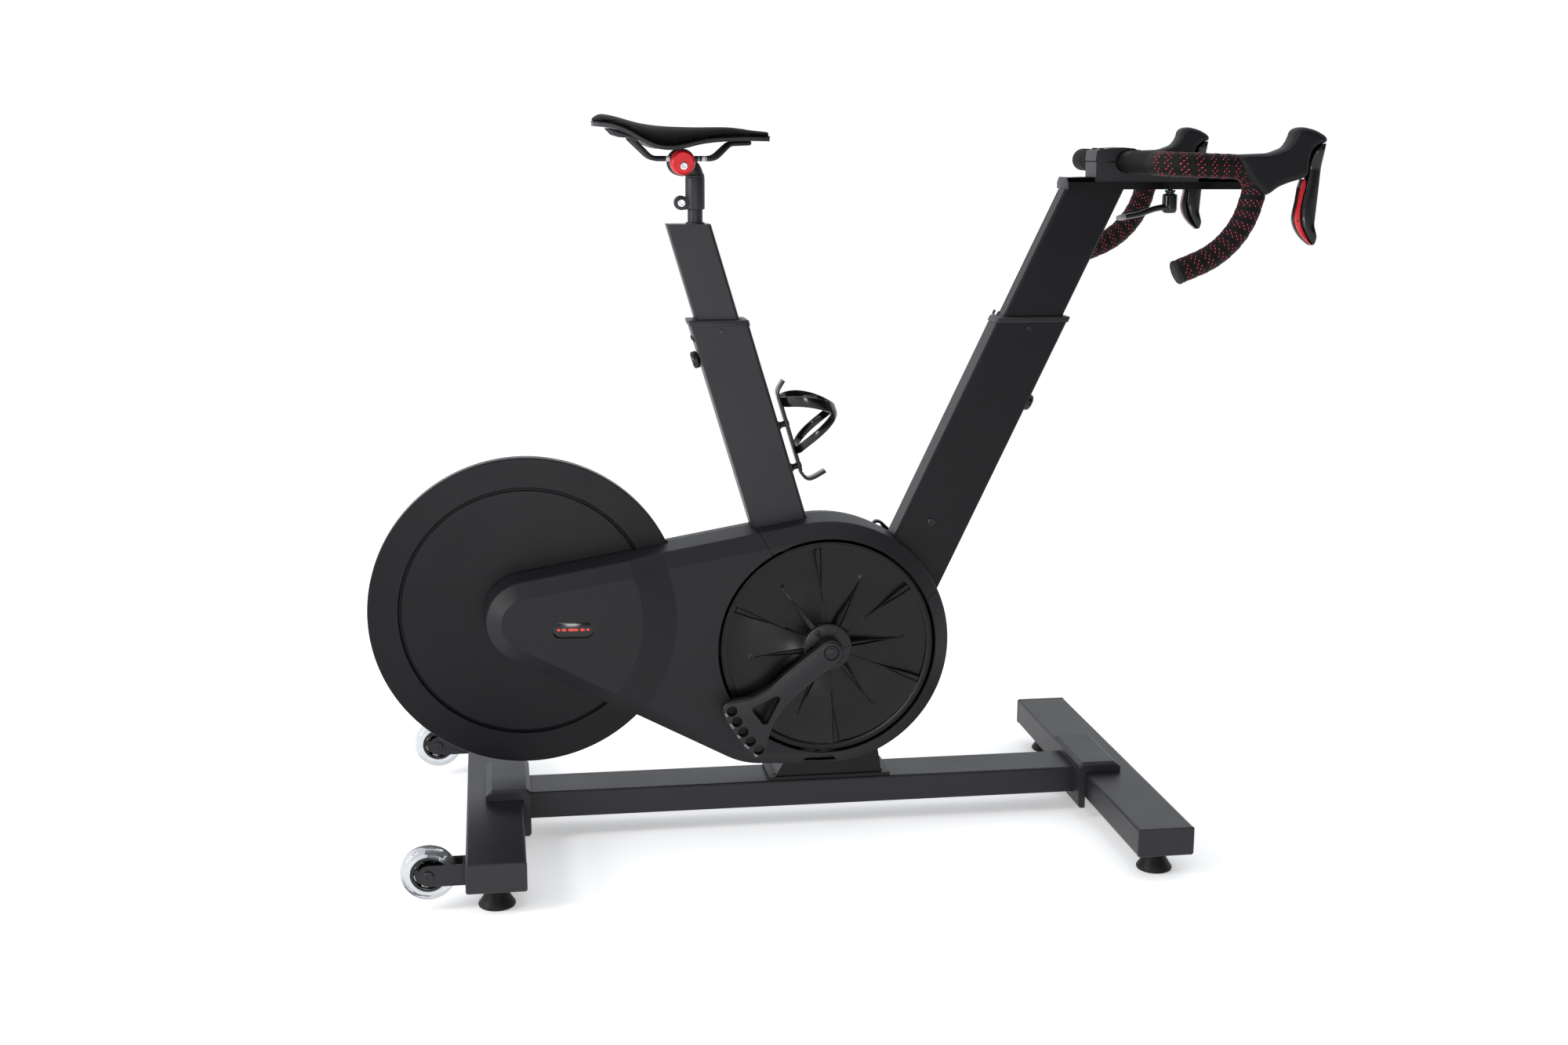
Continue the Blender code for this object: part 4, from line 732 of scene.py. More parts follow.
def cone_crossings(start, stop):
    """Shares of a straight run at which it crosses the two circles of the cone."""
    start = Vector(start)
    run = Vector(stop) - start
    shares = []
    for radius in (CONE_INNER, CONE_OUTER):
        offset = start - Vector(FLYWHEEL)
        a = run.dot(run)
        b = 2.0 * offset.dot(run)
        c = offset.dot(offset) - radius * radius
        root = math.sqrt(b * b - 4.0 * a * c)
        shares += [s for s in ((-b - root) / (2 * a), (-b + root) / (2 * a)) if 0.0 < s < 1.0]
    return sorted(shares)


def cover_circles(offset):
    """The three rounds of the covers' outline, grown or shrunk."""
    return [(DRUM, DRUM_RADIUS + offset), (FLYWHEEL, NOSE_RADIUS + offset),
            (CORNER, CORNER_RADIUS + offset)]


DRUM_STEPS = 110
NOSE_STEPS = 30
CORNER_STEPS = 12


def cover_outline(offset):
    """Fine outline of the covers; its straight runs hold the points where the cone crosses them."""
    angles = tangent_angles(cover_circles(0.0))
    arcs = []
    spans = zip(cover_circles(offset), angles[-1:] + angles[:-1], angles,
                (DRUM_STEPS, NOSE_STEPS, CORNER_STEPS))
    for (centre, radius), start, stop, steps in spans:
        arcs.append(arc(centre, radius, start, start + (stop - start) % 360.0, steps))
    points = []
    for k, (here, after) in enumerate(zip(arcs, arcs[1:] + arcs[:1])):
        points += here
        for share in RUN_SHARES[k]:
            points.append((here[-1][0] + (after[0][0] - here[-1][0]) * share,
                           here[-1][1] + (after[0][1] - here[-1][1]) * share))
    return points


def run_shares():
    """Where each straight run of the outline has its points."""
    angles = tangent_angles(cover_circles(0.0))
    circles = cover_circles(-FACE_INSET)
    shares = []
    for k, angle in enumerate(angles):
        ends = []
        for centre, radius in (circles[k], circles[(k + 1) % 3]):
            ends.append(arc(centre, radius, angle, angle, 1)[0])
        own = [j / 12 for j in range(1, 12)]
        if k < 2:
            crossing = cone_crossings(*ends)
            own = [s for s in own if min(abs(s - c) for c in crossing) > 0.02] + crossing
        shares.append(sorted(own))
    return shares


RUN_SHARES = run_shares()


def face_depth(x, z):
    """Distance of the right cover's face from the middle: it steps out beside the flywheel."""
    distance = math.hypot(x - FLYWHEEL[0], z - FLYWHEEL[1])
    share = min(1.0, max(0.0, (distance - CONE_INNER) / (CONE_OUTER - CONE_INNER)))
    return FACE_REAR_Y + (FACE_FRONT_Y - FACE_REAR_Y) * share


def window_arc(start, stop, steps):
    """Edge of the round window, between the two ends of the face."""
    a = math.degrees(math.atan2(start[1] - DRUM[1], start[0]))
    b = math.degrees(math.atan2(stop[1] - DRUM[1], stop[0])) % 360.0
    return arc(DRUM, DRUM_RADIUS - FACE_INSET, a, b, steps)


def cone_arc(radius, face):
    """The part of one of the cone's circles that lies on the face."""
    ends = [p for p in face if abs(math.hypot(p[0] - FLYWHEEL[0], p[1] - FLYWHEEL[1]) - radius) < 2e-5]
    angles = sorted(math.degrees(math.atan2(p[1] - FLYWHEEL[1], p[0] - FLYWHEEL[0])) for p in ends)
    points = arc(FLYWHEEL, radius, angles[0], angles[-1], 56)
    return points[1:-1]


def right_face(bm, face):
    """Fill the face between the outline and the round window, with the cone's edges built in."""
    rim = face[DRUM_STEPS:] + face[:1]
    window = window_arc(rim[0], rim[-1], 96)
    loop = rim + list(reversed(window[1:-1]))
    points = [Vector(p) for p in loop]
    edges = []
    for radius in (CONE_INNER, CONE_OUTER):
        inner = cone_arc(radius, rim)
        first = len(points)
        points += [Vector(p) for p in inner]
        chain = list(range(first, len(points)))
        nearest = [min(range(len(loop)), key=lambda i: (points[i] - points[c]).length)
                   for c in (chain[0], chain[-1])]
        chain = [nearest[0]] + chain + [nearest[1]]
        edges += list(zip(chain, chain[1:]))
    result = delaunay_2d_cdt(points, edges, [list(range(len(loop)))], 0, 1e-6)
    made = [bm.verts.new((p.x, -face_depth(p.x, p.y), p.y)) for p in result[0]]
    for triangle, owner in zip(result[2], result[5]):
        if owner:
            bm.faces.new([made[i] for i in triangle])


def thin_shell(name, bm, outward):
    """Weld a skin, turn it outwards and give it its wall."""
    bmesh.ops.remove_doubles(bm, verts=bm.verts, dist=0.00002)
    loose = [v for v in bm.verts if not v.link_faces]
    bmesh.ops.delete(bm, geom=loose, context="VERTS")
    bmesh.ops.recalc_face_normals(bm, faces=bm.faces)
    outermost = max(bm.faces, key=lambda face: outward * face.calc_center_median().y)
    if outermost.normal.y * outward < 0.0:
        bmesh.ops.reverse_faces(bm, faces=bm.faces)
    mesh = bpy.data.meshes.new(name)
    bm.to_mesh(mesh)
    bm.free()
    paint(mesh, "housing")
    obj = link_object(name, mesh)
    modify(obj, "SOLIDIFY", thickness=WALL, offset=-1.0)
    settle(obj)
    return obj


def tube_cutters():
    """Shapes of both masts, the pedestal and the flywheel's slot, as cutters."""
    cutters = [skinned([square_ring(mast, half, z) for z in (0.30, 0.60)])
               for mast, half in ((SEAT, (0.0408, 0.0258)), (COLUMN, (0.0483, 0.0258)))]
    cutters.append(skinned([[(left, -half, z), (right, -half, z), (right, half, z), (left, half, z)]
                            for left, right, half, z in PEDESTAL_CUT]))
    slot = [(SLOT_RADIUS, -SLOT_HALF), (SLOT_RADIUS, SLOT_HALF)]
    cutters.append(turned(slot, vec(*FLYWHEEL), Y_AXIS, 220))
    return cutters


# rear x, front x, half width, height
PEDESTAL_CUT = ((-0.076, 0.096, 0.036, 0.070), (-0.0488, 0.0848, 0.0318, 0.118),
                (-0.0488, 0.0848, 0.0318, 0.165))
BADGE = (-0.3662, 0.3283)
BADGE_HALF = (0.0300, 0.0125)
BADGE_LEAN = math.radians(-1.0)


def capsule(centre, half, lean=0.0, steps=14):
    """Outline of a lying capsule in XZ."""
    reach = half[0] - half[1]
    raw = arc((reach, 0.0), half[1], -90, 90, steps) + arc((-reach, 0.0), half[1], 90, 270, steps)
    return [(centre[0] + x * math.cos(lean) - z * math.sin(lean),
             centre[1] + x * math.sin(lean) + z * math.cos(lean)) for x, z in raw]


def slit(start, stop, y_low, y_high, width=0.0007):
    """Thin blade that parts two panels along a line in XZ."""
    start = Vector(start)
    stop = Vector(stop)
    side = (stop - start).normalized() * (width / 2)
    across = Vector((-side.y, side.x))
    outline = [start - across, stop - across, stop + across, start + across]
    return skinned([[(p.x, y, p.y) for p in outline] for y in (y_low, y_high)])


def radial_slit(angle, r_low, r_high, y_low, y_high):
    """Blade along a radius of the drum."""
    a = math.radians(angle)
    ends = [(DRUM[0] + r * math.cos(a), DRUM[1] + r * math.sin(a)) for r in (r_low, r_high)]
    return slit(*ends, y_low, y_high)


COVER_SHARP = 7.0
COVER_TAB = ((-0.036, 0.1105), (0.018, 0.1105), (0.018, 0.1300), (-0.036, 0.1300))
LEFT_SCREWS = ((-0.425, 0.362), (-0.250, 0.390), (-0.250, 0.230), (0.120, 0.200), (0.120, 0.375),
               (-0.060, 0.160))
NOTCH = ((-0.040, 0.100), (-0.0325, 0.1150), (-0.0265, 0.1215), (0.0085, 0.1215), (0.0145, 0.1150),
         (0.0220, 0.100))


def cover_right():
    """Deep cover over the belt: soft chamfer, cone beside the flywheel, round window."""
    bm = bmesh.new()
    face_edge = cover_outline(-FACE_INSET)
    depths = [face_depth(x, z) for x, z in face_edge]
    rows = [[(x, -0.0004, z) for x, z in cover_outline(0.003)]]
    steps = ((0.0002, 0.0186), (-0.0001, 0.0174), (-0.0010, 0.0162), (-0.0200, 0.0009),
             (-0.0208, 0.0003), (-FACE_INSET, 0.0))
    for offset, drop in steps:
        outline = cover_outline(offset)
        rows.append([(x, drop - depth, z) for (x, z), depth in zip(outline, depths)])
    skin(bm, rows, caps=False)
    right_face(bm, face_edge)
    cover = thin_shell("belt_cover", bm, -1)
    carve(cover, tube_cutters())
    extras = [skinned([[(x, y, z) for x, z in badge_outline(0.0)]
                          for y in (-0.095, -0.075)]),
              slit((-0.1085, 0.4720), (-0.0735, 0.4130), -0.095, -0.030),
              radial_slit(24.5, 0.150, 0.1765, -0.095, -0.055),
              skinned([[(x, y, z) for x, z in rounded(NOTCH, 0.004)] for y in (-0.095, -0.0475)])]
    carve(cover, extras)
    cover.data.set_sharp_from_angle(angle=math.radians(COVER_SHARP))
    place(cover, "housing", ("drive_cover_right",))
    cover_badge()
    screws("cover_bolt", "dark", "drive_cover_right", [((-0.0095, -0.0462, 0.1175), -Y_AXIS)], 0.0046,
           0.0030)
    tab = bmesh.new()
    plate(tab, rounded(COVER_TAB, 0.00128, 3), -0.0465, -0.0435, 0.0008)
    detail("cover_bolt_tab", tab, "housing", "drive_cover_right")


def badge_outline(gap):
    """Outline of the badge's recess, drawn in by a gap."""
    return capsule(BADGE, (BADGE_HALF[0] - gap, BADGE_HALF[1] - gap), BADGE_LEAN)


def cover_badge():
    """Glossy capsule set into the cover, with five plain red bars and a rim."""
    bm = bmesh.new()
    plate(bm, badge_outline(0.0004), -0.0822, -0.0795, 0.0004)
    detail("badge_plate", bm, "gloss", "drive_cover_right")
    outer = badge_outline(0.0002)
    inner = badge_outline(0.0016)
    rings = [[(x, y, z) for x, z in ring] for ring, y in
             ((outer, -0.0812), (outer, -0.0839), (inner, -0.0834), (inner, -0.0812))]
    detail("badge_rim", skinned(rings, loop=True), "gloss", "drive_cover_right")
    bars = bmesh.new()
    for shift, half in ((-0.0205, 0.0024), (-0.0130, 0.0035), (0.0, 0.0075), (0.0130, 0.0035),
                        (0.0205, 0.0024)):
        centre = (BADGE[0] + shift, BADGE[1] + shift * math.tan(BADGE_LEAN))
        plate(bars, capsule(centre, (half, 0.0019), BADGE_LEAN, 5), -0.0825, -0.0821, 0.00008)
    detail("badge_bars", bars, "badge", "drive_cover_right")


LEFT_STEPS = ((0.003, 0.0004), (0.0002, 0.0285), (-0.0001, 0.0297), (-0.0010, 0.0310),
              (-0.0130, 0.0413), (-0.0137, 0.0417), (-0.0150, 0.0420))


def cover_left():
    """Shallow cover on the side away from the belt."""
    bm = bmesh.new()
    rows = [[(x, y, z) for x, z in cover_outline(offset)] for offset, y in LEFT_STEPS]
    grid = skin(bm, rows, caps=False)
    bm.faces.new(grid[-1])
    cover = thin_shell("left_cover", bm, 1)
    window = turned([(0.032, 0.02), (0.032, 0.06)], vec(*DRUM), Y_AXIS, 64)
    carve(cover, tube_cutters() + [window, slit((-0.1085, 0.4720), (-0.0790, 0.4225), 0.020, 0.0335)])
    cover.data.set_sharp_from_angle(angle=math.radians(COVER_SHARP))
    place(cover, "housing", ("drive_cover_left",))
    screws("left_cover_screws", "dark", "drive_cover_left",
           [((x, 0.0420, z), Y_AXIS) for x, z in LEFT_SCREWS], 0.0042, 0.0022)


# ---------------------------------------------------------------- pulley, hub plate

# angles in degrees
LONG_RIBS = (96.0, 36.0, -22.0, -84.0, -144.0, 156.0)
SHORT_RIBS = (127.0, 64.0, 5.0, -53.0, -113.0, -173.0)
PULLEY_HUB = 0.0360
PULLEY_RIM = 0.1460
PULLEY_ROWS = 54
PULLEY_BORE = 0.0125
PULLEY_FACE_Y = -0.0705
RIDGE_WIDTH = 0.0011
PANEL_DISH = 0.0035
RIM_TWIST = 0.0066
HUB_TWIST = 0.0076
# (radius, y) of the back, the groove for the belt and the flat rim
PULLEY_BODY = ((PULLEY_BORE, -0.0420), (0.0300, -0.0420), (0.0300, -0.0590), (0.1452, -0.0590),
               (0.1452, -0.0490), (0.1500, -0.0490), (0.1500, -0.0650), (0.1554, -0.0650),
               (0.1554, -0.0700), (0.1549, PULLEY_FACE_Y), (0.1534, PULLEY_FACE_Y), (0.1531, -0.0699),
               (0.1527, -0.0699), (0.1524, PULLEY_FACE_Y), (0.1468, PULLEY_FACE_Y), (0.1463, -0.0702))


def smooth_step(value):
    """Ease from 0 to 1."""
    value = min(1.0, max(0.0, value))
    return value * value * (3.0 - 2.0 * value)


def rib_list():
    """Angles of all twelve ribs with their kind, counterclockwise."""
    ribs = [(a % 360.0, "long") for a in LONG_RIBS] + [(a % 360.0, "short") for a in SHORT_RIBS]
    return sorted(ribs)


def rib_shape(kind, radius):
    """Gap between a rib's two ridges and the ridges' height, at a radius."""
    share = (radius - PULLEY_HUB) / (PULLEY_RIM - PULLEY_HUB)
    if kind == "long":
        grown = smooth_step((share - 0.36) / 0.64)
        return 0.0040 * grown, 0.0006 + 0.0028 * smooth_step((share - 0.24) / 0.25) - 0.0006 * share
    faded = smooth_step((0.66 - share) / 0.60)
    return 0.0030 * faded, 0.0032 * smooth_step((0.76 - share) / 0.30)


def panel_height(kind_after, share_across, radius):
    """Height of the dished panel between two ribs; share_across runs from one rib to the next."""
    share = (radius - PULLEY_HUB) / (PULLEY_RIM - PULLEY_HUB)
    outer = smooth_step((share - 0.25) / 0.75)
    inner = smooth_step((0.68 - share) / 0.68)
    half = share_across / 2
    sector, hub_sector = (0.5 + half, half) if kind_after == "long" else (half, half + 0.5)
    dish = -PANEL_DISH * math.sin(math.pi * min(1.0, share))
    return dish - RIM_TWIST * outer * (1.0 - sector) - HUB_TWIST * inner * (1.0 - hub_sector)


def pulley_row(radius):
    """Points of one ring of the pulley's face, as (angle, height above the deep level)."""
    ribs = rib_list()
    row = []
    ridge = RIDGE_WIDTH
    for k, (angle, kind) in enumerate(ribs):
        after, after_kind = ribs[(k + 1) % len(ribs)]
        gap, rise = rib_shape(kind, radius)
        low_side = panel_height(kind, 1.0, radius)
        high_side = panel_height(after_kind, 0.0, radius)
        top = max(low_side, high_side) + rise
        valley = max(low_side, high_side) - 0.25 * rise - 0.25 * gap
        inner = max(gap - ridge, 0.00003)
        mid = max(gap - 0.4 * ridge, 0.00002)
        marks = ((-gap - ridge, low_side), (-gap - 0.4 * ridge, top), (-mid, top), (-inner, valley),
                 (inner, valley), (mid, top), (gap + 0.4 * ridge, top), (gap + ridge, high_side))
        for shift, height in marks:
            row.append((math.radians(angle) + shift / radius, height))
        next_gap = rib_shape(after_kind, radius)[0] + ridge
        start = math.radians(angle) + (gap + ridge) / radius
        span = math.radians((after - angle) % 360.0) - (gap + ridge + next_gap) / radius
        for j in range(1, 9):
            row.append((start + span * j / 9, panel_height(after_kind, j / 9, radius)))
    return row


def drive_pulley():
    """Moulded pulley: twelve ribs and twisted panels inside a flat rim."""
    def ring(radius, y, row):
        return [Vector((radius * math.cos(a), y - h, DRUM[1] + radius * math.sin(a))) for a, h in row]

    plain = [(a, 0.0) for a, _ in pulley_row(PULLEY_HUB)]
    rows = [ring(radius, y, plain) for radius, y in PULLEY_BODY]
    for k in range(PULLEY_ROWS + 1):
        radius = PULLEY_RIM + (PULLEY_HUB - PULLEY_RIM) * k / PULLEY_ROWS
        rows.append(ring(radius, PULLEY_FACE_Y, pulley_row(radius)))
    rows += [ring(radius, PULLEY_FACE_Y, plain) for radius in (0.0345, PULLEY_BORE)]
    piece("pulley_disc", skinned(rows, loop=True), "pulley", "drive_pulley", sharp=40.0)


SCREW_ANGLES = (5.0, 65.0, 125.0, -179.0, -115.0, -54.0)


def hub_plate():
    """Round plate over the pulley's hub with six sunk screws."""
    profile = [(0.0123, -0.0706), (0.0123, -0.0757), (0.0325, -0.0757), (0.0340, -0.0753),
               (0.0348, -0.0745), (0.0350, -0.0733), (0.0350, -0.0706)]
    cap = piece("hub_cap_plate", turned(profile, vec(*DRUM), Y_AXIS, 96, hollow=True), "alloy",
                "hub_plate")
    places = [arc(DRUM, 0.0270, angle, angle, 1)[0] for angle in SCREW_ANGLES]
    well = [(0.0036, -0.0790), (0.0036, -0.0742)]
    carve(cap, [turned(well, vec(x, z), Y_AXIS, 24) for x, z in places])
    screws("hub_screws", "dark", "hub_plate", [((x, -0.0743, z), -Y_AXIS) for x, z in places], 0.0030,
           0.0016)


# ---------------------------------------------------------------- cranks

CRANK_ANGLE = math.radians(-138.6)
CRANK_OUTER_Y = 0.105
CRANK_INNER_Y = 0.091
CRANK_OUTLINE = ((0.030, -0.0205), (0.066, -0.0225), (0.096, -0.0220), (0.125, -0.0285),
                 (0.150, -0.0450), (0.160, -0.0495), (0.168, -0.0480), (0.1755, -0.0395),
                 (0.1815, -0.0166), (0.1845, 0.0150), (0.1825, 0.0390), (0.1768, 0.0470),
                 (0.1650, 0.0455), (0.1437, 0.0295), (0.1230, 0.0204), (0.0990, 0.0150),
                 (0.0556, 0.0145), (0.0250, 0.0170))
CRANK_WINDOW = ((0.1360, -0.0160), (0.1385, -0.0140), (0.1410, 0.0105), (0.1370, 0.0150),
                (0.0993, 0.0000), (0.1000, -0.0057))
PEDAL_LABELS = ((0.1650, "165"), (0.1675, "167.5"), (0.1700, "170"), (0.1725, "172.5"),
                (0.1750, "175"))
PEDAL_SPREAD = 6.0
CRANK_EYE = 0.0185
PEDAL_HOLE = ((0.0082, 0.0010), (0.0076, -0.0003), (0.0070, -0.0014), (0.0070, -0.020))
BOLT_RECESS = ((0.0118, 0.0010), (0.0110, -0.0004), (0.0106, -0.0026))
LABEL_HEIGHT = 0.00006
LABEL_LIFT = 0.00012
LABEL_SIZE = 0.0040
LABEL_REACH = 0.0096


def crank_point(u, v, y, side):
    """A point of a crank arm: u out along the arm, v across it; the left arm is the opposite."""
    x = u * math.cos(CRANK_ANGLE) - v * math.sin(CRANK_ANGLE)
    z = u * math.sin(CRANK_ANGLE) + v * math.cos(CRANK_ANGLE)
    return Vector((-side * x, side * y, DRUM[1] - side * z))


def crank_rows(outline, steps, side):
    """Rings of a crank outline at (distance from the middle, inset) steps."""
    rows = []
    for y, amount in steps:
        ring = inset(outline, amount) if amount else outline
        rows.append([crank_point(u, v, y, side) for u, v in ring])
    return rows


def pedal_place(k):
    """Position (u, v) of a pedal hole."""
    angle = math.radians((k - 2) * PEDAL_SPREAD)
    radius = PEDAL_LABELS[k][0]
    return radius * math.cos(angle), radius * math.sin(angle)


def crank_cutters(side):
    """Window, pedal holes and the recess of the axle bolt."""
    outer = CRANK_OUTER_Y
    window = counterclockwise(rounded(list(CRANK_WINDOW), 0.0050, 5))
    steps = ((outer + 0.001, -0.0022), (outer - 0.0008, -0.0010), (outer - 0.0022, -0.0002),
             (outer - 0.0035, 0.0), (0.085, 0.0))
    cutters = [skinned(crank_rows(window, steps, side))]
    for k in range(len(PEDAL_LABELS)):
        cutters.append(turned(PEDAL_HOLE, crank_point(*pedal_place(k), outer, side), (0, side, 0), 40))
    cutters.append(turned(BOLT_RECESS, crank_point(0.0, 0.0, outer, side), (0, side, 0), 56))
    return cutters


def crank(side_name, side):
    """Crank arm with a soft outer edge, a fan-shaped end and five pedal positions."""
    axis = (0, side, 0)
    node = "crank_" + side_name
    eye = [(CRANK_EYE * math.cos(math.radians(a)), CRANK_EYE * math.sin(math.radians(a)))
           for a in range(90, 271, 12)]
    outline = counterclockwise(rounded(list(CRANK_OUTLINE) + eye, 0.0070, 4))
    outer = CRANK_OUTER_Y
    steps = ((CRANK_INNER_Y, 0.0012), (CRANK_INNER_Y + 0.0008, 0.0002), (CRANK_INNER_Y + 0.002, 0.0),
             (outer - 0.0045, 0.0), (outer - 0.0028, 0.0005), (outer - 0.0013, 0.0016),
             (outer - 0.0004, 0.0031), (outer, 0.0048))
    arm = make_object("crank_arm_" + side_name, skinned(crank_rows(outline, steps, side)), "alloy")
    carve(arm, crank_cutters(side))
    place(arm, "alloy", (node,))
    boss = [(0.0132, 0.0772), (0.0165, 0.0776), (0.0165, 0.0905), (0.0150, 0.0915)]
    detail("crank_boss_" + side_name, turned(boss, vec(*DRUM), axis, 64), "alloy", node)
    centre = crank_point(0.0, 0.0, outer - 0.0026, side)
    bolt = turned([(0.0106, -0.0005), (0.0104, 0.0010), (0.0096, 0.0016), (0.0080, 0.0016),
                   (0.0076, 0.0006)], centre, axis, 56)
    cap_screw(bolt, centre + Y_AXIS * side * 0.0004, axis, 0.0066, 0.0022, 0.62, 36)
    detail("crank_bolt_" + side_name, bolt, "dark", node)
    for k, (_, label) in enumerate(PEDAL_LABELS):
        crank_label(f"crank_label_{side_name}_{k}", label, k, side)


def crank_label(name, label, k, side):
    """Printed number beside a pedal hole, read from outside."""
    data = bpy.data.curves.new(name, "FONT")
    data.body = label
    data.size = LABEL_SIZE
    data.align_x = "CENTER"
    data.align_y = "CENTER"
    data.extrude = LABEL_HEIGHT
    text = link_object(name, data)
    u, v = pedal_place(k)
    reach = (Vector((u, v)).length + LABEL_REACH) / Vector((u, v)).length
    here = crank_point(u * reach, v * reach, CRANK_OUTER_Y + LABEL_LIFT, side)
    along = (crank_point(-v, u, 0.0, side) - crank_point(0.0, 0.0, 0.0, side)).normalized()
    outwards = Vector((0.0, side, 0.0))
    up = outwards.cross(along)
    turn = Matrix((along, up, outwards)).transposed()
    text.matrix_world = Matrix.Translation(here) @ turn.to_4x4()
    bpy.context.view_layer.update()
    mesh = bpy.data.meshes.new_from_object(text.evaluated_get(bpy.context.evaluated_depsgraph_get()))
    mesh.transform(text.matrix_world)
    bpy.data.objects.remove(text)
    paint(mesh, "marks")
    node = "crank_" + ("right" if side < 0 else "left")
    place(link_object(name, mesh), "marks", (node,), stands_for=False)


# ---------------------------------------------------------------- base

REAR_X = -0.482
FRONT_X = 0.4366
FOOT_Y = 0.265
WHEEL = (-0.5705, 0.0545)
WHEEL_Y = 0.2724
SPOKES = 7
SPOKE_FOOT = 0.0105
SPOKE_END = 0.0208
TYRE = ((0.0245, -0.0112), (0.0290, -0.0120), (0.0325, -0.0108), (0.0352, -0.0082), (0.0370, -0.0046),
        (0.0379, 0.0), (0.0370, 0.0046), (0.0352, 0.0082), (0.0325, 0.0108), (0.0290, 0.0120),
        (0.0245, 0.0112))


def levelling_foot(name, x, side):
    """Flared rubber foot with a dished rim under a threaded stud and its lock nut."""
    foot = (x, side * FOOT_Y, 0.0)
    profile = [(0.0230, 0.0), (0.0243, 0.0008), (0.0250, 0.0026), (0.0247, 0.0044), (0.0205, 0.0105),
               (0.0168, 0.0170), (0.0140, 0.0235), (0.0122, 0.0290), (0.0116, 0.0318), (0.0100, 0.0325)]
    piece(name + "_pad", turned(profile, foot, Z_AXIS, 64), "rubber", name)
    nut = rounded([(0.0078, 0.0322), (0.0078, 0.0348), (0.0040, 0.0348), (0.0040, 0.0600)], 0.0005, 2,
                  closed=False)
    detail(name + "_stud", turned(nut, foot, Z_AXIS, 6), "steel", name, sharp=50.0)


def hollow_section(inner, outer, near, far, soft):
    """Rounded rectangle of (radius, distance) pairs, for a turned ring."""
    return rounded([(inner, near), (outer, near), (outer, far), (inner, far)], soft, 2)


def spoke_outline(angle):
    """Outline of one slanted wheel spoke in XZ."""
    corners = [(SPOKE_FOOT, s * 0.16) for s in (-1, 1)]
    corners += [(SPOKE_END, 0.25 + s * 0.075) for s in (1, -1)]
    return [(WHEEL[0] + r * math.cos(angle + turn), WHEEL[1] + r * math.sin(angle + turn))
            for r, turn in corners]


def wheel(side_name, side):
    """Transport wheel: clear tyre, dark spoked hub, bearing and bolt."""
    centre = vec(*WHEEL, side * WHEEL_Y)
    piece("tyre_" + side_name, turned(TYRE, centre, Y_AXIS, 96, hollow=True), "clear",
          "wheel_tyre_" + side_name)
    hub = bmesh.new()
    for section, segments in (((0.0200, 0.0243, -0.0095, 0.0095, 0.0008), 80),
                              ((0.0043, 0.0115, -0.0110, 0.0110, 0.0010), 48),
                              ((0.0100, 0.0212, -0.0040, 0.0040, 0.0008), 64)):
        lathe(hub, hollow_section(*section), centre, Y_AXIS, segments, hollow=True)
    for k in range(SPOKES):
        plate(hub, spoke_outline(math.tau * k / SPOKES), centre.y - 0.0075, centre.y + 0.0075, 0.0006)
    piece("hub_" + side_name, hub, "gloss", "wheel_hub_" + side_name)
    bearing = bmesh.new()
    for k in range(SPOKES):
        start = 360.0 * k / SPOKES + 34.0
        inner, outer = (arc(WHEEL, radius, start, start + 26.0, 8) for radius in (0.0186, 0.0205))
        plate(bearing, inner + list(reversed(outer)), centre.y - 0.0046, centre.y + 0.0046, 0.0004)
    for end in (-1, 1):
        lathe(bearing, hollow_section(0.0045, 0.0085, 0.0105, 0.0118, 0.0004), centre, (0, end, 0), 40,
              hollow=True)
    detail("bearing_" + side_name, bearing, "steel", "wheel_hub_" + side_name)
    screws("wheel_bolt_" + side_name, "dark", "wheel_bracket_" + side_name,
           [(centre + Y_AXIS * end * 0.0167, (0, end, 0)) for end in (-1, 1)], 0.0070, 0.0034, 0.5, 36)


def base():
    """Soft edges on the tubes, caps, brackets and joint covers, then feet, wheels and small bolts."""
    for node in ("base_beam", "rear_stabilizer", "front_stabilizer"):
        soften(node, 0.0012)
    for end, x in (("rear", REAR_X), ("front", FRONT_X)):
        soften(end + "_joint_cover", 0.0011)
        for side_name, side in SIDES:
            soften(f"{end}_{side_name}_end_cap", 0.0016, 4, 30.0)
            levelling_foot(f"{end}_{side_name}_foot", x, side)
    for side_name, side in SIDES:
        soften("wheel_bracket_" + side_name, 0.0006, 2)
        wheel(side_name, side)
    screws("pedestal_bolts", "dark", "main_frame",
           [((x, y, 0.0806), Z_AXIS) for x in (-0.066, 0.088) for y in (-0.026, 0.026)], 0.0042, 0.0030)


# ---------------------------------------------------------------- masts, collars, knobs

SEAT_SLEEVE = (0.040, 0.025)
COLUMN_SLEEVE = (0.0475, 0.025)
COLLAR_Z = 0.7483
COLLAR_TOP = 0.7563
COLLAR_DEPTH = 0.018
SCREW_DROP = 0.0082
SEAT_MAST = (0.030, 0.017)
FRONT_MAST = (0.040, 0.018)
KNOB_SEGMENTS = 96
RULER_PITCH = 0.005


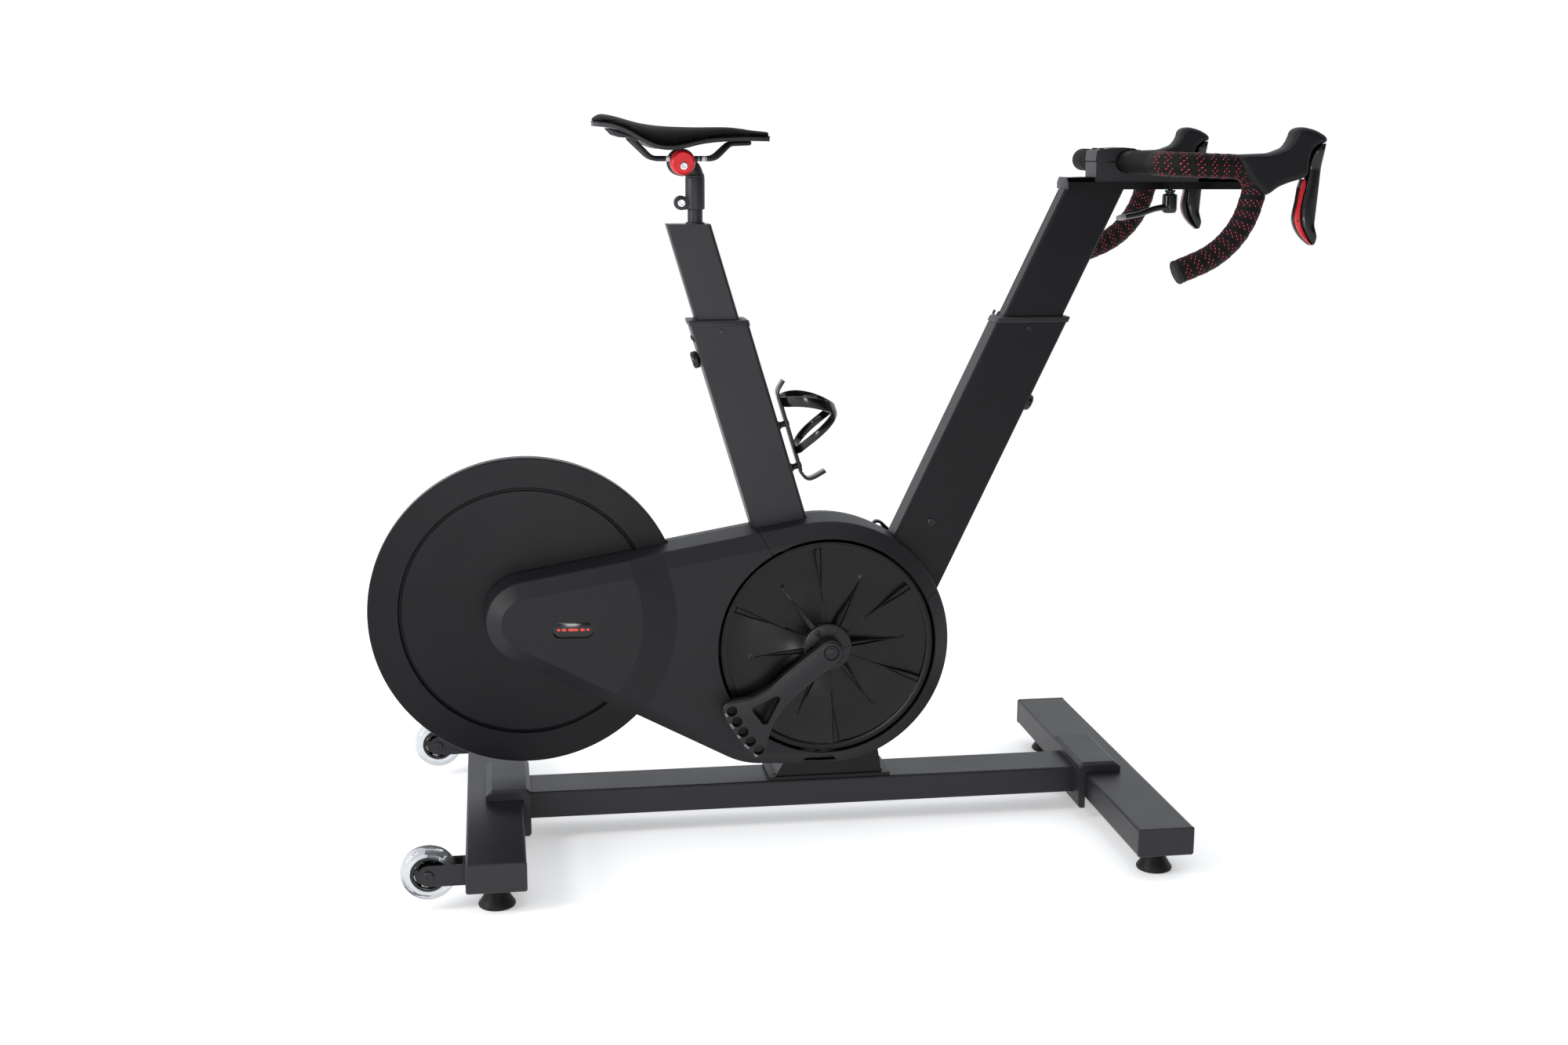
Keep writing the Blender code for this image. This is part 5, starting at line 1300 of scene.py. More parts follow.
def collar(name, mast, outer, inner, node):
    """Moulded bush: a rounded lip on the sleeve with a fine step round the mast."""
    lip, liner = ((outer[0] + grow, outer[1] + grow) for grow in (0.0015, -0.0033))
    foot = COLLAR_Z - COLLAR_DEPTH
    step = COLLAR_TOP - 0.0012
    levels = [(lip, 0.0, COLLAR_Z, 0.005), (lip, 0.0, COLLAR_TOP - 0.0022, 0.005),
              (lip, -0.0003, step, 0.0045), (lip, -0.0010, COLLAR_TOP - 0.0004, 0.0045),
              (lip, -0.0022, COLLAR_TOP, 0.0045), (inner, 0.0025, COLLAR_TOP, 0.004),
              (inner, 0.0019, step, 0.004), (inner, 0.0003, step, 0.004), (inner, 0.0003, foot, 0.004),
              (liner, 0.0, foot, 0.004), (liner, 0.0, COLLAR_Z, 0.004)]
    rows = [level_ring(mast, (half[0] + grow, half[1] + grow), z, radius)
            for half, grow, z, radius in levels]
    piece(name, skinned(rows, loop=True), "trim", node)


def collar_screws(name, mast, half, node):
    """Small screws under a collar, one on each side face and two in front and behind."""
    bm = bmesh.new()
    z = COLLAR_Z - SCREW_DROP
    for side in (-1, 1):
        cap_screw(bm, on_mast(mast, z, 0.0, side * half[1]), (0, side, 0), 0.0040, 0.0018)
    for side in (-1, 1):
        for v in (-0.012, 0.012):
            cap_screw(bm, on_mast(mast, z, side * half[0], v), mast[2] * side, 0.0036, 0.0022)
    detail(name, bm, "dark", node)


def clamp_knob(name, mast, half, z, side, node):
    """Round clamp knob with a fluted rim and a domed face."""
    face = on_mast(mast, z, side * half[0])
    axes = axes_of(mast[2] * side)
    profile = rounded([(0.0075, 0.0006), (0.0105, 0.0010), (0.0125, 0.0030), (0.0125, 0.0090),
                       (0.0100, 0.0113), (0.0060, 0.0115)], 0.0012, 3, closed=False)
    waves = [0.5 + 0.5 * math.cos(math.tau * k / KNOB_SEGMENTS * 16) for k in range(KNOB_SEGMENTS)]
    rows = []
    for radius, distance in profile:
        fluting = 0.0006 if 0.002 < distance < 0.0105 and radius > 0.011 else 0.0
        rows.append(ring_about(face, axes, distance, [radius - fluting * wave for wave in waves]))
    piece(name, skinned(rows), "gloss", node)


def ruler(name, mast, half, node, z_low, z_high):
    """Raised scale on a mast's rear face: a fine line each 5 mm and a longer one each 10 mm."""
    bm = bmesh.new()
    _, along, across = mast
    for k in range(int((z_high - z_low) / (RULER_PITCH * along.z))):
        middle = on_mast(mast, z_low, -half[0]) + along * (RULER_PITCH * k)
        reach = 0.0075 if k % 2 == 0 else 0.0045
        path = [middle + Y_AXIS * (s * reach - 0.004) for s in (-1, 1)]
        sweep(bm, path, strip(0.0004, 0.0002, 0.0003, 0.00025), up=-across)
    detail(name, bm, "coat", node)


def mast_lines(name, mast, half, node, z_low, z_high):
    """Two raised guides along a mast's rear face."""
    bm = bmesh.new()
    for v in (-half[1] + 0.0045, half[1] - 0.0045):
        path = [on_mast(mast, z, -half[0], v) for z in (z_low, z_high)]
        sweep(bm, path, strip(0.0007, 0.0002, 0.0005, 0.0004), up=-mast[2])
    detail(name, bm, "coat", node)


def masts():
    """Dress both masts, their sleeves, bushes and knobs."""
    for node, width in (("seat_tube", 0.0012), ("front_column", 0.0012), ("seat_mast", 0.0026),
                        ("front_mast", 0.0012)):
        soften(node, width, 3, 50.0)
    soften("fork_arm_right", 0.0008)
    soften("fork_arm_left", 0.0008)
    collar("seat_bush", SEAT, SEAT_SLEEVE, SEAT_MAST, "seat_collar")
    collar("column_bush", COLUMN, COLUMN_SLEEVE, FRONT_MAST, "front_collar")
    collar_screws("seat_bush_screws", SEAT, SEAT_SLEEVE, "seat_tube")
    collar_screws("column_bush_screws", COLUMN, COLUMN_SLEEVE, "front_column")
    clamp_knob("seat_clamp_knob", SEAT, SEAT_SLEEVE, 0.7115, -1, "seat_knob")
    clamp_knob("column_clamp_knob", COLUMN, COLUMN_SLEEVE, 0.652, 1, "column_knob")
    ruler("front_mast_scale", COLUMN, FRONT_MAST, "front_mast", 0.640, 0.930)
    mast_lines("front_mast_guides", COLUMN, FRONT_MAST, "front_mast", 0.600, 0.934)
    ruler("seat_mast_scale", SEAT, SEAT_MAST, "seat_mast", 0.640, 0.880)
    spots = [((0.1606, side * 0.025, 0.4578), (0, side, 0)) for side in (-1, 1)]
    screws("column_bolt", "dark", "front_column", spots, 0.0058, 0.0026, 0.5, 32)


# ---------------------------------------------------------------- bottle cage

# u is the distance in front of the seat tube's centreline
CAGE_U = 0.0525
BOTTLE_RADIUS = 0.0365
BOTTLE_U = 0.0905
STANDOFF = ((0.0062, 0.0), (0.0062, 0.0030), (0.0045, 0.0040), (0.0045, 0.0105))


def hoop_path(steps):
    """Centreline of the hoop: level at the back, dipping towards the front."""
    path = []
    for k in range(steps + 1):
        angle = math.radians(190 + 340 * k / steps)
        dip = 0.033 * ((1 + math.cos(angle)) / 2) ** 2
        u = BOTTLE_U + BOTTLE_RADIUS * math.cos(angle)
        path.append(on_mast(SEAT, 0.621 - dip, u, BOTTLE_RADIUS * math.sin(angle)))
    return path


def brace_path(side, steps):
    """Centreline of one of the two arms that run from the front of the hoop to the spine."""
    path = []
    for k in range(steps + 1):
        share = k / steps
        angle = math.radians(side * (28 + 122 * share))
        radius = BOTTLE_RADIUS + 0.0004
        path.append(on_mast(SEAT, 0.586 - 0.034 * share, BOTTLE_U + radius * math.cos(angle),
                            radius * math.sin(angle)))
    path.append(on_mast(SEAT, 0.550, CAGE_U, side * 0.005))
    return smooth_path(path, 3)


def bottle_cage():
    """Moulded cage: a ribbed spine on two standoffs, a hoop, two braces and a foot."""
    bm = bmesh.new()
    spine = [on_mast(SEAT, z, CAGE_U + u) for z, u in
             ((0.648, 0.014), (0.637, 0.002), (0.628, 0.0), (0.518, 0.0), (0.5075, 0.005),
              (0.5045, 0.014), (0.5085, 0.035))]
    fine = smooth_path(spine[:3], 5) + smooth_path(spine[3:], 6)
    flat = rounded([(-0.009, -0.0023), (0.009, -0.0023), (0.009, 0.0023), (-0.009, 0.0023)], 0.0010, 3)
    sweep(bm, fine, [(b, a) for a, b in flat], up=Y_AXIS)
    ribbon = rounded([(-0.0014, -0.0075), (0.0014, -0.0075), (0.0016, 0.0), (0.0014, 0.0075),
                      (-0.0014, 0.0075), (-0.0016, 0.0)], 0.0009, 3)
    sweep(bm, hoop_path(64), ribbon, up=SEAT[1])
    for side in (-1, 1):
        strap = [(a * 1.1, b * 0.75) for a, b in ribbon]
        sweep(bm, brace_path(side, 12), strap, up=SEAT[1])
        foot = on_mast(SEAT, 0.558 + side * 0.031, SEAT_SLEEVE[0] + 0.0003)
        lathe(bm, rounded(STANDOFF, 0.0006, 2, closed=False), foot, SEAT[2], 28)
    rim = strip(0.0008, 0.0004, 0.0008, 0.0009)
    for v in (-0.0075, 0.0075):
        edge = [on_mast(SEAT, z, CAGE_U + 0.0023, v) for z in (0.520, 0.626)]
        sweep(bm, edge, rim, up=SEAT[2])
    piece("cage", bm, "gloss", "bottle_cage")
    screws("cage_screws", "dark", "bottle_cage",
           [(on_mast(SEAT, z, CAGE_U + 0.0023), SEAT[2]) for z in (0.527, 0.589)], 0.0042, 0.0022)


# ---------------------------------------------------------------- saddle

CLAMP = (-0.2015, 0.975)
POST_X = -0.182
POST_RADIUS = 0.0106
PINCH = (POST_X - 0.0198, 0.9192)
RAIL_Y = 0.0220
RAIL_Z = 0.980
RAIL_RADIUS = 0.0035
CHEEK = ((0.0150, 0.0140), (0.0164, 0.0146), (0.0172, 0.0165), (0.0175, 0.0200), (0.0175, 0.0255),
         (0.0171, 0.0285), (0.0160, 0.0312), (0.0148, 0.0330), (0.0138, 0.0336), (0.0135, 0.0332))
CHEEK_BACKING = ((0.0100, 0.0128), (0.0186, 0.0128), (0.0190, 0.0150), (0.0186, 0.0172),
                 (0.0178, 0.0176))
# x, half width, top, lower edge
SADDLE_STATIONS = (
    (-0.3240, 0.0280, 1.0360, 1.0295), (-0.3150, 0.0520, 1.0410, 1.0290),
    (-0.3000, 0.0630, 1.0385, 1.0270), (-0.2800, 0.0700, 1.0330, 1.0195),
    (-0.2600, 0.0725, 1.0280, 1.0085), (-0.2400, 0.0710, 1.0250, 1.0000),
    (-0.2200, 0.0650, 1.0235, 0.9980), (-0.2000, 0.0550, 1.0228, 1.0005),
    (-0.1800, 0.0440, 1.0225, 1.0050), (-0.1600, 0.0340, 1.0228, 1.0078),
    (-0.1350, 0.0260, 1.0228, 1.0095), (-0.1100, 0.0215, 1.0208, 1.0100),
    (-0.0900, 0.0185, 1.0188, 1.0098), (-0.0785, 0.0145, 1.0176, 1.0096),
)
ARCH = 0.35
PAD_SHRINK = 0.0009
PUFF_LIMIT = 0.0013
PUFF_SINK = 0.0002
PUFF_BLUR = 8
PUFF_PRESSURE = 4.0
PUFF_FRAMES = 20
EDGE_WALL = 0.0030
PAD_VOXEL = 0.0040
SHELL_DROP = 0.0007
SHELL_THICKNESS = 0.005


def saddle_stations(steps):
    """Fine stations of the saddle, from the rear to the nose."""
    return [tuple(v) for v in smooth_path([Vector(s) for s in SADDLE_STATIONS], steps)]


def dome_height(across):
    """Share of the pad's height at a share of its half width: flat on top, steep at the sides."""
    return max(0.0, 1.0 - abs(across) ** 2.7) ** 0.62


def saddle_row(station, points, arched, lift, shrink=0.0):
    """Half a section from the right edge to the left: a dome, or the arched underside."""
    x, half, top, edge = station
    row = []
    for k in range(points):
        across = -math.cos(math.pi * k / (points - 1))
        if arched:
            z = edge + ARCH * (top - edge) * (1.0 - across * across) + shrink
        else:
            z = edge + EDGE_WALL + (top - edge - EDGE_WALL) * dome_height(across) - shrink
        row.append(Vector((x, (half - shrink) * across, z + lift)))
    return row


def saddle_pad():
    """Foam pad under a stretched cover: remeshed, puffed up by pressure, capped and smoothed."""
    bm = bmesh.new()
    rows = []
    for station in saddle_stations(4):
        dome = saddle_row(station, 25, False, 0.0, PAD_SHRINK)
        arch = saddle_row(station, 25, True, 0.0, 0.0003)
        rows.append(dome + list(reversed(arch)))
    skin(bm, rows)
    bmesh.ops.recalc_face_normals(bm, faces=bm.faces)
    rest = BVHTree.FromBMesh(bm)
    pad = make_object("saddle_cushion", bm, "leather")
    modify(pad, "REMESH", mode="VOXEL", voxel_size=PAD_VOXEL)
    settle(pad)
    keep_near(pad, rest)
    puff(pad)
    modify(pad, "SMOOTH", factor=0.5, iterations=3)
    modify(pad, "SUBSURF", levels=1, render_levels=1)
    settle(pad)
    keep_near(pad, rest)
    modify(pad, "SMOOTH", factor=0.5, iterations=4)
    settle(pad)
    pad.data.shade_smooth()
    paint(pad.data, "leather")
    place(pad, "leather", ("saddle_pad",))


def puff(pad):
    """Blow the cover up with Cloth pressure; every point may rise only a little off the foam."""
    places = [vertex.co.copy() for vertex in pad.data.vertices]
    normals = [vertex.normal.copy() for vertex in pad.data.vertices]
    cloth = modify(pad, "CLOTH")
    cloth.settings.use_pressure = True
    cloth.settings.uniform_pressure_force = PUFF_PRESSURE
    cloth.settings.effector_weights.gravity = 0.0
    scene = bpy.context.scene
    for step in range(1, PUFF_FRAMES + 1):
        scene.frame_set(step)
    settle(pad)
    scene.frame_set(1)
    rises = [min(PUFF_LIMIT, max(0.0, (vertex.co - place).dot(normal)))
             for vertex, place, normal in zip(pad.data.vertices, places, normals)]
    for _ in range(PUFF_BLUR):
        totals = list(rises)
        counts = [1] * len(rises)
        for edge in pad.data.edges:
            a, b = edge.vertices
            totals[a] += rises[b]
            totals[b] += rises[a]
            counts[a] += 1
            counts[b] += 1
        rises = [total / count for total, count in zip(totals, counts)]
    for vertex, place, normal, rise in zip(pad.data.vertices, places, normals, rises):
        vertex.co = place + normal * rise


def keep_near(pad, rest):
    """Cap how far the cover's points lie from the foam's own shape."""
    for vertex in pad.data.vertices:
        nearest, normal, _, _ = rest.find_nearest(vertex.co)
        rise = (vertex.co - nearest).dot(normal)
        vertex.co = nearest + normal * min(PUFF_LIMIT, max(-PUFF_SINK, rise))


def saddle_edge():
    """Piping round the pad's lower edge."""
    right, left = ([Vector((x, side * (half - 0.0002), edge + 0.0004))
                    for x, half, _, edge in saddle_stations(4)] for side in (-1, 1))
    bm = bmesh.new()
    tube(bm, right + list(reversed(left)) + right[:1], 0.0009, 10)
    detail("saddle_piping", bm, "leather", "saddle_pad")


def saddle_shell():
    """Stiff shell with an arched underside and two sockets for the rails' rear ends."""
    bm = bmesh.new()
    rows = []
    for station in saddle_stations(4):
        wide = (station[0], station[1] + 0.0004, station[2], station[3])
        upper = saddle_row(wide, 17, True, -SHELL_DROP)
        under = saddle_row(wide, 17, True, -SHELL_DROP - SHELL_THICKNESS)
        narrow = [Vector((p.x, p.y * 0.975, p.z)) for p in under]
        rows.append(upper + list(reversed(narrow)))
    skin(bm, rows)
    socket = [(-0.306, 1.0215), (-0.297, 1.0120), (-0.284, 1.0082), (-0.279, 1.0095), (-0.266, 1.0030),
              (-0.262, 1.0070), (-0.274, 1.0160)]
    for side in (-1, 1):
        ends = sorted((side * 0.030, side * 0.042))
        plate(bm, rounded(socket, 0.0015, 2), ends[0], ends[1], 0.0010)
    piece("saddle_base", bm, "trim", "saddle_shell", sharp=40.0)


def rail_path():
    """Centreline of the bent rod that makes both rails."""
    half = [(-0.2730, 0.036, 1.0080), (-0.2440, RAIL_Y, RAIL_Z), (-0.1560, RAIL_Y, RAIL_Z),
            (-0.1340, 0.014, 1.0005), (-0.1060, 0.007, 1.0015)]
    right = [(x, -y, z) for x, y, z in half]
    radii = [0.020, 0.020, 0.014, 0.005, 0.005, 0.014, 0.020, 0.020]
    return filleted_path(right + list(reversed(half)), radii, 8)


def rail_marks():
    """Pale scale marks printed on the rails, beside the clamp."""
    bm = bmesh.new()
    for side in (-1, 1):
        for marks in ((-0.2245, -0.2195), (-0.1795, -0.1785), (-0.1745, -0.1700), (-0.1688, -0.1680)):
            tube(bm, [vec(x, RAIL_Z, side * RAIL_Y) for x in marks], RAIL_RADIUS + 0.00008, 24)
    detail("rail_scale", bm, "marks", "saddle_rails")


def saddle_clamp():
    """Domed red cheeks with an off-centre flat and bolt, on dark backing rings."""
    for name, side in SIDES:
        centre = vec(*CLAMP)
        axis = (0, side, 0)
        node = "clamp_cheek_" + name
        cheek = make_object("clamp_" + name, turned(CHEEK, centre, axis, 96), "red")
        groove = bmesh.new()
        tube(groove, [vec(CLAMP[0] + shift, RAIL_Z, side * RAIL_Y) for shift in (-0.04, 0.04)],
             RAIL_RADIUS + 0.0004, 24)
        carve(cheek, [groove])
        place(cheek, "red", (node,))
        head = vec(CLAMP[0] + 0.0010, CLAMP[1] - 0.0045, side * 0.0333)
        screws("clamp_bolt_" + name, "steel", node, [(head, axis)], 0.0058, 0.0022, 0.60, 6)
        backing = rounded(CHEEK_BACKING, 0.0008, 2, closed=False)
        detail("clamp_backing_" + name, turned(backing, centre, axis, 80), "trim", node)


def saddle_head():
    """Elbow from the post to the clamp's core, with a pinch bolt behind."""
    bm = bmesh.new()
    lathe(bm, rounded([(0.0128, 0.9100), (0.0137, 0.9108), (0.0137, 0.9535), (0.0131, 0.9545),
                       (0.0136, 0.9560), (0.0120, 0.9600)], 0.0005, 2, closed=False),
          vec(POST_X, 0.0), Z_AXIS, 72)
    elbow = [vec(POST_X, 0.945), vec(POST_X - 0.0005, 0.958), vec(POST_X - 0.006, 0.968),
             vec(CLAMP[0] + 0.004, 0.974), vec(*CLAMP)]
    tube(bm, smooth_path(elbow, 5), 0.0122, 40)
    core = [(0.0150, -0.0130), (0.0155, -0.0120), (0.0155, 0.0120), (0.0150, 0.0130)]
    lathe(bm, rounded(core, 0.0004, 2, closed=False), vec(*CLAMP), Y_AXIS, 64)
    outline = arc(PINCH, 0.0100, 50, 270, 20)
    outline += [(POST_X - 0.008, 0.9105), (POST_X - 0.008, 0.9360)]
    plate(bm, outline, -0.009, 0.009, 0.0012)
    piece("saddle_head_casting", bm, "trim", "saddle_head", sharp=35.0)
    screws("pinch_bolt", "steel", "saddle_head",
           [(vec(*PINCH, side * 0.009), (0, side, 0)) for side in (-1, 1)], 0.0055, 0.0030, 0.55, 30)


def saddle():
    """Everything above the seat mast."""
    post = [(POST_RADIUS, 0.8870), (POST_RADIUS, 0.9096), (POST_RADIUS - 0.0003, 0.9098)]
    detail("post_skin", turned(post, vec(POST_X, 0.0), Z_AXIS, 72), "trim", "seat_mast")
    saddle_pad()
    saddle_edge()
    saddle_shell()
    bm = bmesh.new()
    tube(bm, rail_path(), RAIL_RADIUS, 20)
    piece("rails", bm, "alloy", "saddle_rails", sharp=50.0)
    rail_marks()
    saddle_clamp()
    saddle_head()


# ---------------------------------------------------------------- handlebar

BAR = (0.437, 0.977)
BAR_HALF = 0.215
BAR_RADIUS = 0.0157
TAPE_STEP = 0.0009
TAPE_SEGMENTS = 40
SMOOTH_END = 0.062
RINGS_END = 0.148
RING_PITCH = 0.0066
WRAP_PITCH = 0.0165
WRAP_LIFT = 0.0009
WRAP_EDGE = 0.07
CLAMP_HALF = 0.026
CLAMP_SINK = 0.0010
RING_SWELL = 0.0005
RING_DEPTH = 0.0019
TAPE_RIPPLE = 0.00012
END_SCALE = 0.93
END_LENGTH = 0.003
DOT_AROUND = 13
DOT_COLUMNS = 3
DOT_START = 0.34
DOT_STEP = 0.20
DOT_SLANT = 0.55
DOT_OUTLINE = ((-0.0011, 0.0), (-0.0006, 0.00055), (0.0006, 0.00055), (0.0011, 0.0),
               (0.0006, -0.00055), (-0.0006, -0.00055))
DOT_LIFTS = ((-0.0002, 1.0), (0.00014, 1.0), (0.00020, 0.8))
BAR_PLUG = ((0.0160, -0.0005), (0.0168, 0.0006), (0.0168, 0.0024), (0.0160, 0.0040),
            (0.0130, 0.0050), (0.0126, 0.0044), (0.0060, 0.0048))


def bar_path():
    """Centreline of the drop handlebar, from its right end to its left one."""
    half = [(0.4503, BAR_HALF, 0.8338), (0.5330, BAR_HALF, 0.8672), (0.5610, BAR_HALF, 0.9730),
            (BAR[0], BAR_HALF, BAR[1])]
    corners = [(x, -y, z) for x, y, z in half] + list(reversed(half))
    return filleted_path(corners, [0.118, 0.030, 0.040, 0.040, 0.030, 0.118], 16)


def resample(path, step):
    """Points at equal steps along a polyline, with their distances from its start."""
    distances = [0.0]
    for a, b in zip(path, path[1:]):
        distances.append(distances[-1] + (b - a).length)
    count = round(distances[-1] / step)
    points = []
    span = 0
    for k in range(count + 1):
        target = distances[-1] * k / count
        while span < len(path) - 2 and distances[span + 1] < target:
            span += 1
        share = (target - distances[span]) / (distances[span + 1] - distances[span])
        points.append(path[span].lerp(path[span + 1], min(1.0, max(0.0, share))))
    return points, distances[-1]


def wrap_phase(distance, angle):
    """Place across one wrap of the tape, 0..1, at a distance from the bar's middle."""
    return (distance / WRAP_PITCH - angle / math.tau) % 1.0


def tape_radius(distance, angle):
    """Radius of the dressed bar: bare at the clamp, ringed beside it, then wrapped."""
    if distance < SMOOTH_END:
        share = max(0.0, (distance - CLAMP_HALF) / (SMOOTH_END - CLAMP_HALF))
        return BAR_RADIUS - CLAMP_SINK + CLAMP_SINK * share
    if distance < RINGS_END:
        wave = math.cos(math.tau * (distance - SMOOTH_END) / RING_PITCH)
        return BAR_RADIUS + RING_SWELL - RING_DEPTH * max(0.0, wave) ** 2
    phase = wrap_phase(distance, angle)
    step = min(1.0, phase / WRAP_EDGE) * (1.0 - 0.75 * phase)
    place_in_noise = Vector((distance * 130.0, math.cos(angle) * 2.0, math.sin(angle) * 2.0))
    ripple = TAPE_RIPPLE * noise.noise(place_in_noise)
    return BAR_RADIUS + 0.0001 + WRAP_LIFT * step + ripple


def end_scale(place_along, total):
    """Shrink of the radius in the last few millimetres at the bar's ends."""
    rest = max(0.0, min(place_along, total - place_along))
    return END_SCALE + (1.0 - END_SCALE) * min(1.0, rest / END_LENGTH) ** 0.5


def handlebar():
    """Drop bar with a bare middle, ringed grips beside it and wrapped tape with red dots."""
    path, total = resample(bar_path(), TAPE_STEP)
    frames = path_frames(path)
    rows = []
    for k, (point, (_, side, height)) in enumerate(zip(path, frames)):
        along = total * k / (len(path) - 1)
        distance = abs(along - total / 2.0)
        row = []
        for j in range(TAPE_SEGMENTS):
            angle = math.tau * j / TAPE_SEGMENTS
            radius = tape_radius(distance, angle) * end_scale(along, total)
            row.append(point + (side * math.cos(angle) + height * math.sin(angle)) * radius)
        rows.append(row)
    piece("bar_wrapped", skinned(rows), "tape", "handlebar", sharp=40.0)
    tape_dots(path, frames, total)
    plugs = bmesh.new()
    for end, before in ((path[0], path[3]), (path[-1], path[-4])):
        lathe(plugs, BAR_PLUG, end, end - before, 56)
    detail("bar_plugs", plugs, "rubber", "handlebar")


def tape_dots(path, frames, total):
    """Rows of short raised dashes, one slanted band for each wrap of the tape."""
    bm = bmesh.new()
    first = math.ceil((RINGS_END + 0.004) / WRAP_PITCH)
    last = int((total / 2.0 - 0.012) / WRAP_PITCH)
    for sign in (-1, 1):
        for wrap in range(first, last + 1):
            for column in range(DOT_COLUMNS):
                for j in range(DOT_AROUND):
                    turn = (j + 0.5 * (column % 2)) / DOT_AROUND
                    share = DOT_START + DOT_STEP * column
                    distance = WRAP_PITCH * (wrap + share + turn)
                    if distance < total / 2.0 - 0.006:
                        dot(bm, path, frames, total, total / 2.0 + sign * distance, math.tau * turn,
                            distance)
    detail("tape_dashes", bm, "dots", "handlebar", sharp=60.0)


def dot(bm, path, frames, total, along, angle, distance):
    """One dash on the tape, a flat hexagon that follows the bar's surface."""
    radius = tape_radius(distance, angle)
    rows = []
    for lift, scale in DOT_LIFTS:
        row = []
        for around, ahead in DOT_OUTLINE:
            here = (along + (ahead + around * DOT_SLANT) * scale) / total * (len(path) - 1)
            index = min(len(path) - 1, max(0, round(here)))
            _, side, height = frames[index]
            base = path[index] + frames[index][0] * ((here - index) * total / (len(path) - 1))
            spin = angle + around * scale / radius
            row.append(base + (side * math.cos(spin) + height * math.sin(spin)) * (radius + lift))
        rows.append(row)
    skin(bm, rows)


# ---------------------------------------------------------------- rail, carriage and lock lever

LOCK_X = 0.513
OVAL_POINTS = 28
LOCK_NUT_RIB = 0.0007
LOCK_NUT_SEGMENTS = 120
LOCK_ARM_REACH = (0.0823, 0.020)
# share of the arm's reach, height
LOCK_ARM = ((0.04, 0.9125), (0.30, 0.9095), (0.60, 0.9025), (0.91, 0.8985))
RAIL_LIP = (0.0264, 0.9480)
STEM_BOLTS = ((0.4015, 0.9938), (0.4560, 0.9915))


def rail():
    """Rounded edges on the rail and the blocks, end caps, fine lips along the rail and bolts."""
    soften("handlebar_rail", 0.0006, 2)
    soften("bar_carriage", 0.0013, 3)
    soften("stem_cap", 0.0018, 4, 30.0)
    low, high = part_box("handlebar_rail")
    caps = bmesh.new()
    for x, out in ((low[0], -1), (high[0], 1)):
        near = [(-0.0265, low[2] + 0.0005), (0.0265, low[2] + 0.0005), (0.0265, low[2] + 0.0095),
                (0.0195, low[2] + 0.0165), (-0.0195, low[2] + 0.0165), (-0.0265, low[2] + 0.0095)]
        outline = counterclockwise(rounded(near, 0.0012, 3))
        rows = []
        for distance, amount in ((0.0, 0.0), (0.0010, 0.0), (0.0016, 0.0006), (0.0018, 0.0014)):
            ring = inset(outline, amount) if amount else outline
            rows.append([Vector((x + out * distance, y, z)) for y, z in ring])
        skin(caps, rows)
    detail("rail_end_caps", caps, "trim", "handlebar_rail")
    lips = bmesh.new()
    for side in (-1, 1):
        path = [vec(x, RAIL_LIP[1], side * RAIL_LIP[0]) for x in (low[0] + 0.001, high[0] - 0.001)]
        sweep(lips, path, strip(0.0004, 0.0002, 0.0003, 0.0003), up=Z_AXIS)
    detail("rail_lips", lips, "trim", "handlebar_rail")
    spots = [((x, side * 0.0155, z), Z_AXIS) for x, z in STEM_BOLTS for side in (-1, 1)]
    screws("stem_bolts", "dark", "stem_cap", spots, 0.0042, 0.0024, 0.55, 30)


def oval(half_width, half_height):
    """Section of a flattened rod."""
    angles = [math.tau * j / OVAL_POINTS for j in range(OVAL_POINTS)]
    return [(half_width * math.cos(a), half_height * math.sin(a)) for a in angles]


def lock_lever():
    """Ribbed nut under the rail with a tapered arm and a pale rounded tip."""
    stud = rounded([(0.0036, 0.9600), (0.0036, 0.9366), (0.0078, 0.9364), (0.0078, 0.9340),
                    (0.0062, 0.9330), (0.0062, 0.9300)], 0.0004, 2, closed=False)
    bm = turned(stud, (LOCK_X, 0.0, 0.0), Z_AXIS, 40)
    rows = []
    profile = rounded([(0.0080, 0.9310), (0.0105, 0.9298), (0.0108, 0.9270), (0.0108, 0.9090),
                       (0.0100, 0.9052), (0.0078, 0.9034)], 0.0010, 3, closed=False)
    for radius, z in profile:
        rib = LOCK_NUT_RIB if 0.9065 < z < 0.9285 else 0.0
        row = []
        for k in range(LOCK_NUT_SEGMENTS):
            angle = math.tau * k / LOCK_NUT_SEGMENTS
            reach = radius - rib * max(0.0, math.cos(angle * 12)) ** 2
            row.append(Vector((LOCK_X + reach * math.cos(angle), reach * math.sin(angle), z)))
        rows.append(row)
    skin(bm, rows)
    piece("lock_nut", bm, "gloss", "lock_lever")
    back, right = LOCK_ARM_REACH
    path = smooth_path([(LOCK_X - back * s, -right * s, z) for s, z in LOCK_ARM], 6)
    shares = [k / (len(path) - 1) for k in range(len(path))]
    arm = bmesh.new()
    ovals = [oval(0.0066 - 0.0012 * math.sin(math.pi * s), 0.0046 - 0.0008 * s) for s in shares]
    sweep(arm, path, ovals, up=Z_AXIS)
    detail("lock_arm", arm, "gloss", "lock_lever")
    ahead = (path[-1] - path[-3]).normalized()
    spine = [path[-1] - ahead * 0.001 + ahead * (0.0125 * t) for t in (0.0, 0.2, 0.5, 0.8, 0.93, 1.0)]
    tip = bmesh.new()
    ovals = [oval(0.0063 * s, 0.0040 * s) for s in (1.0, 1.02, 1.02, 0.9, 0.66, 0.2)]
    sweep(tip, spine, ovals, up=Z_AXIS)
    detail("lock_arm_tip", tip, "tip", "lock_lever")


# ---------------------------------------------------------------- hoods, levers and paddles

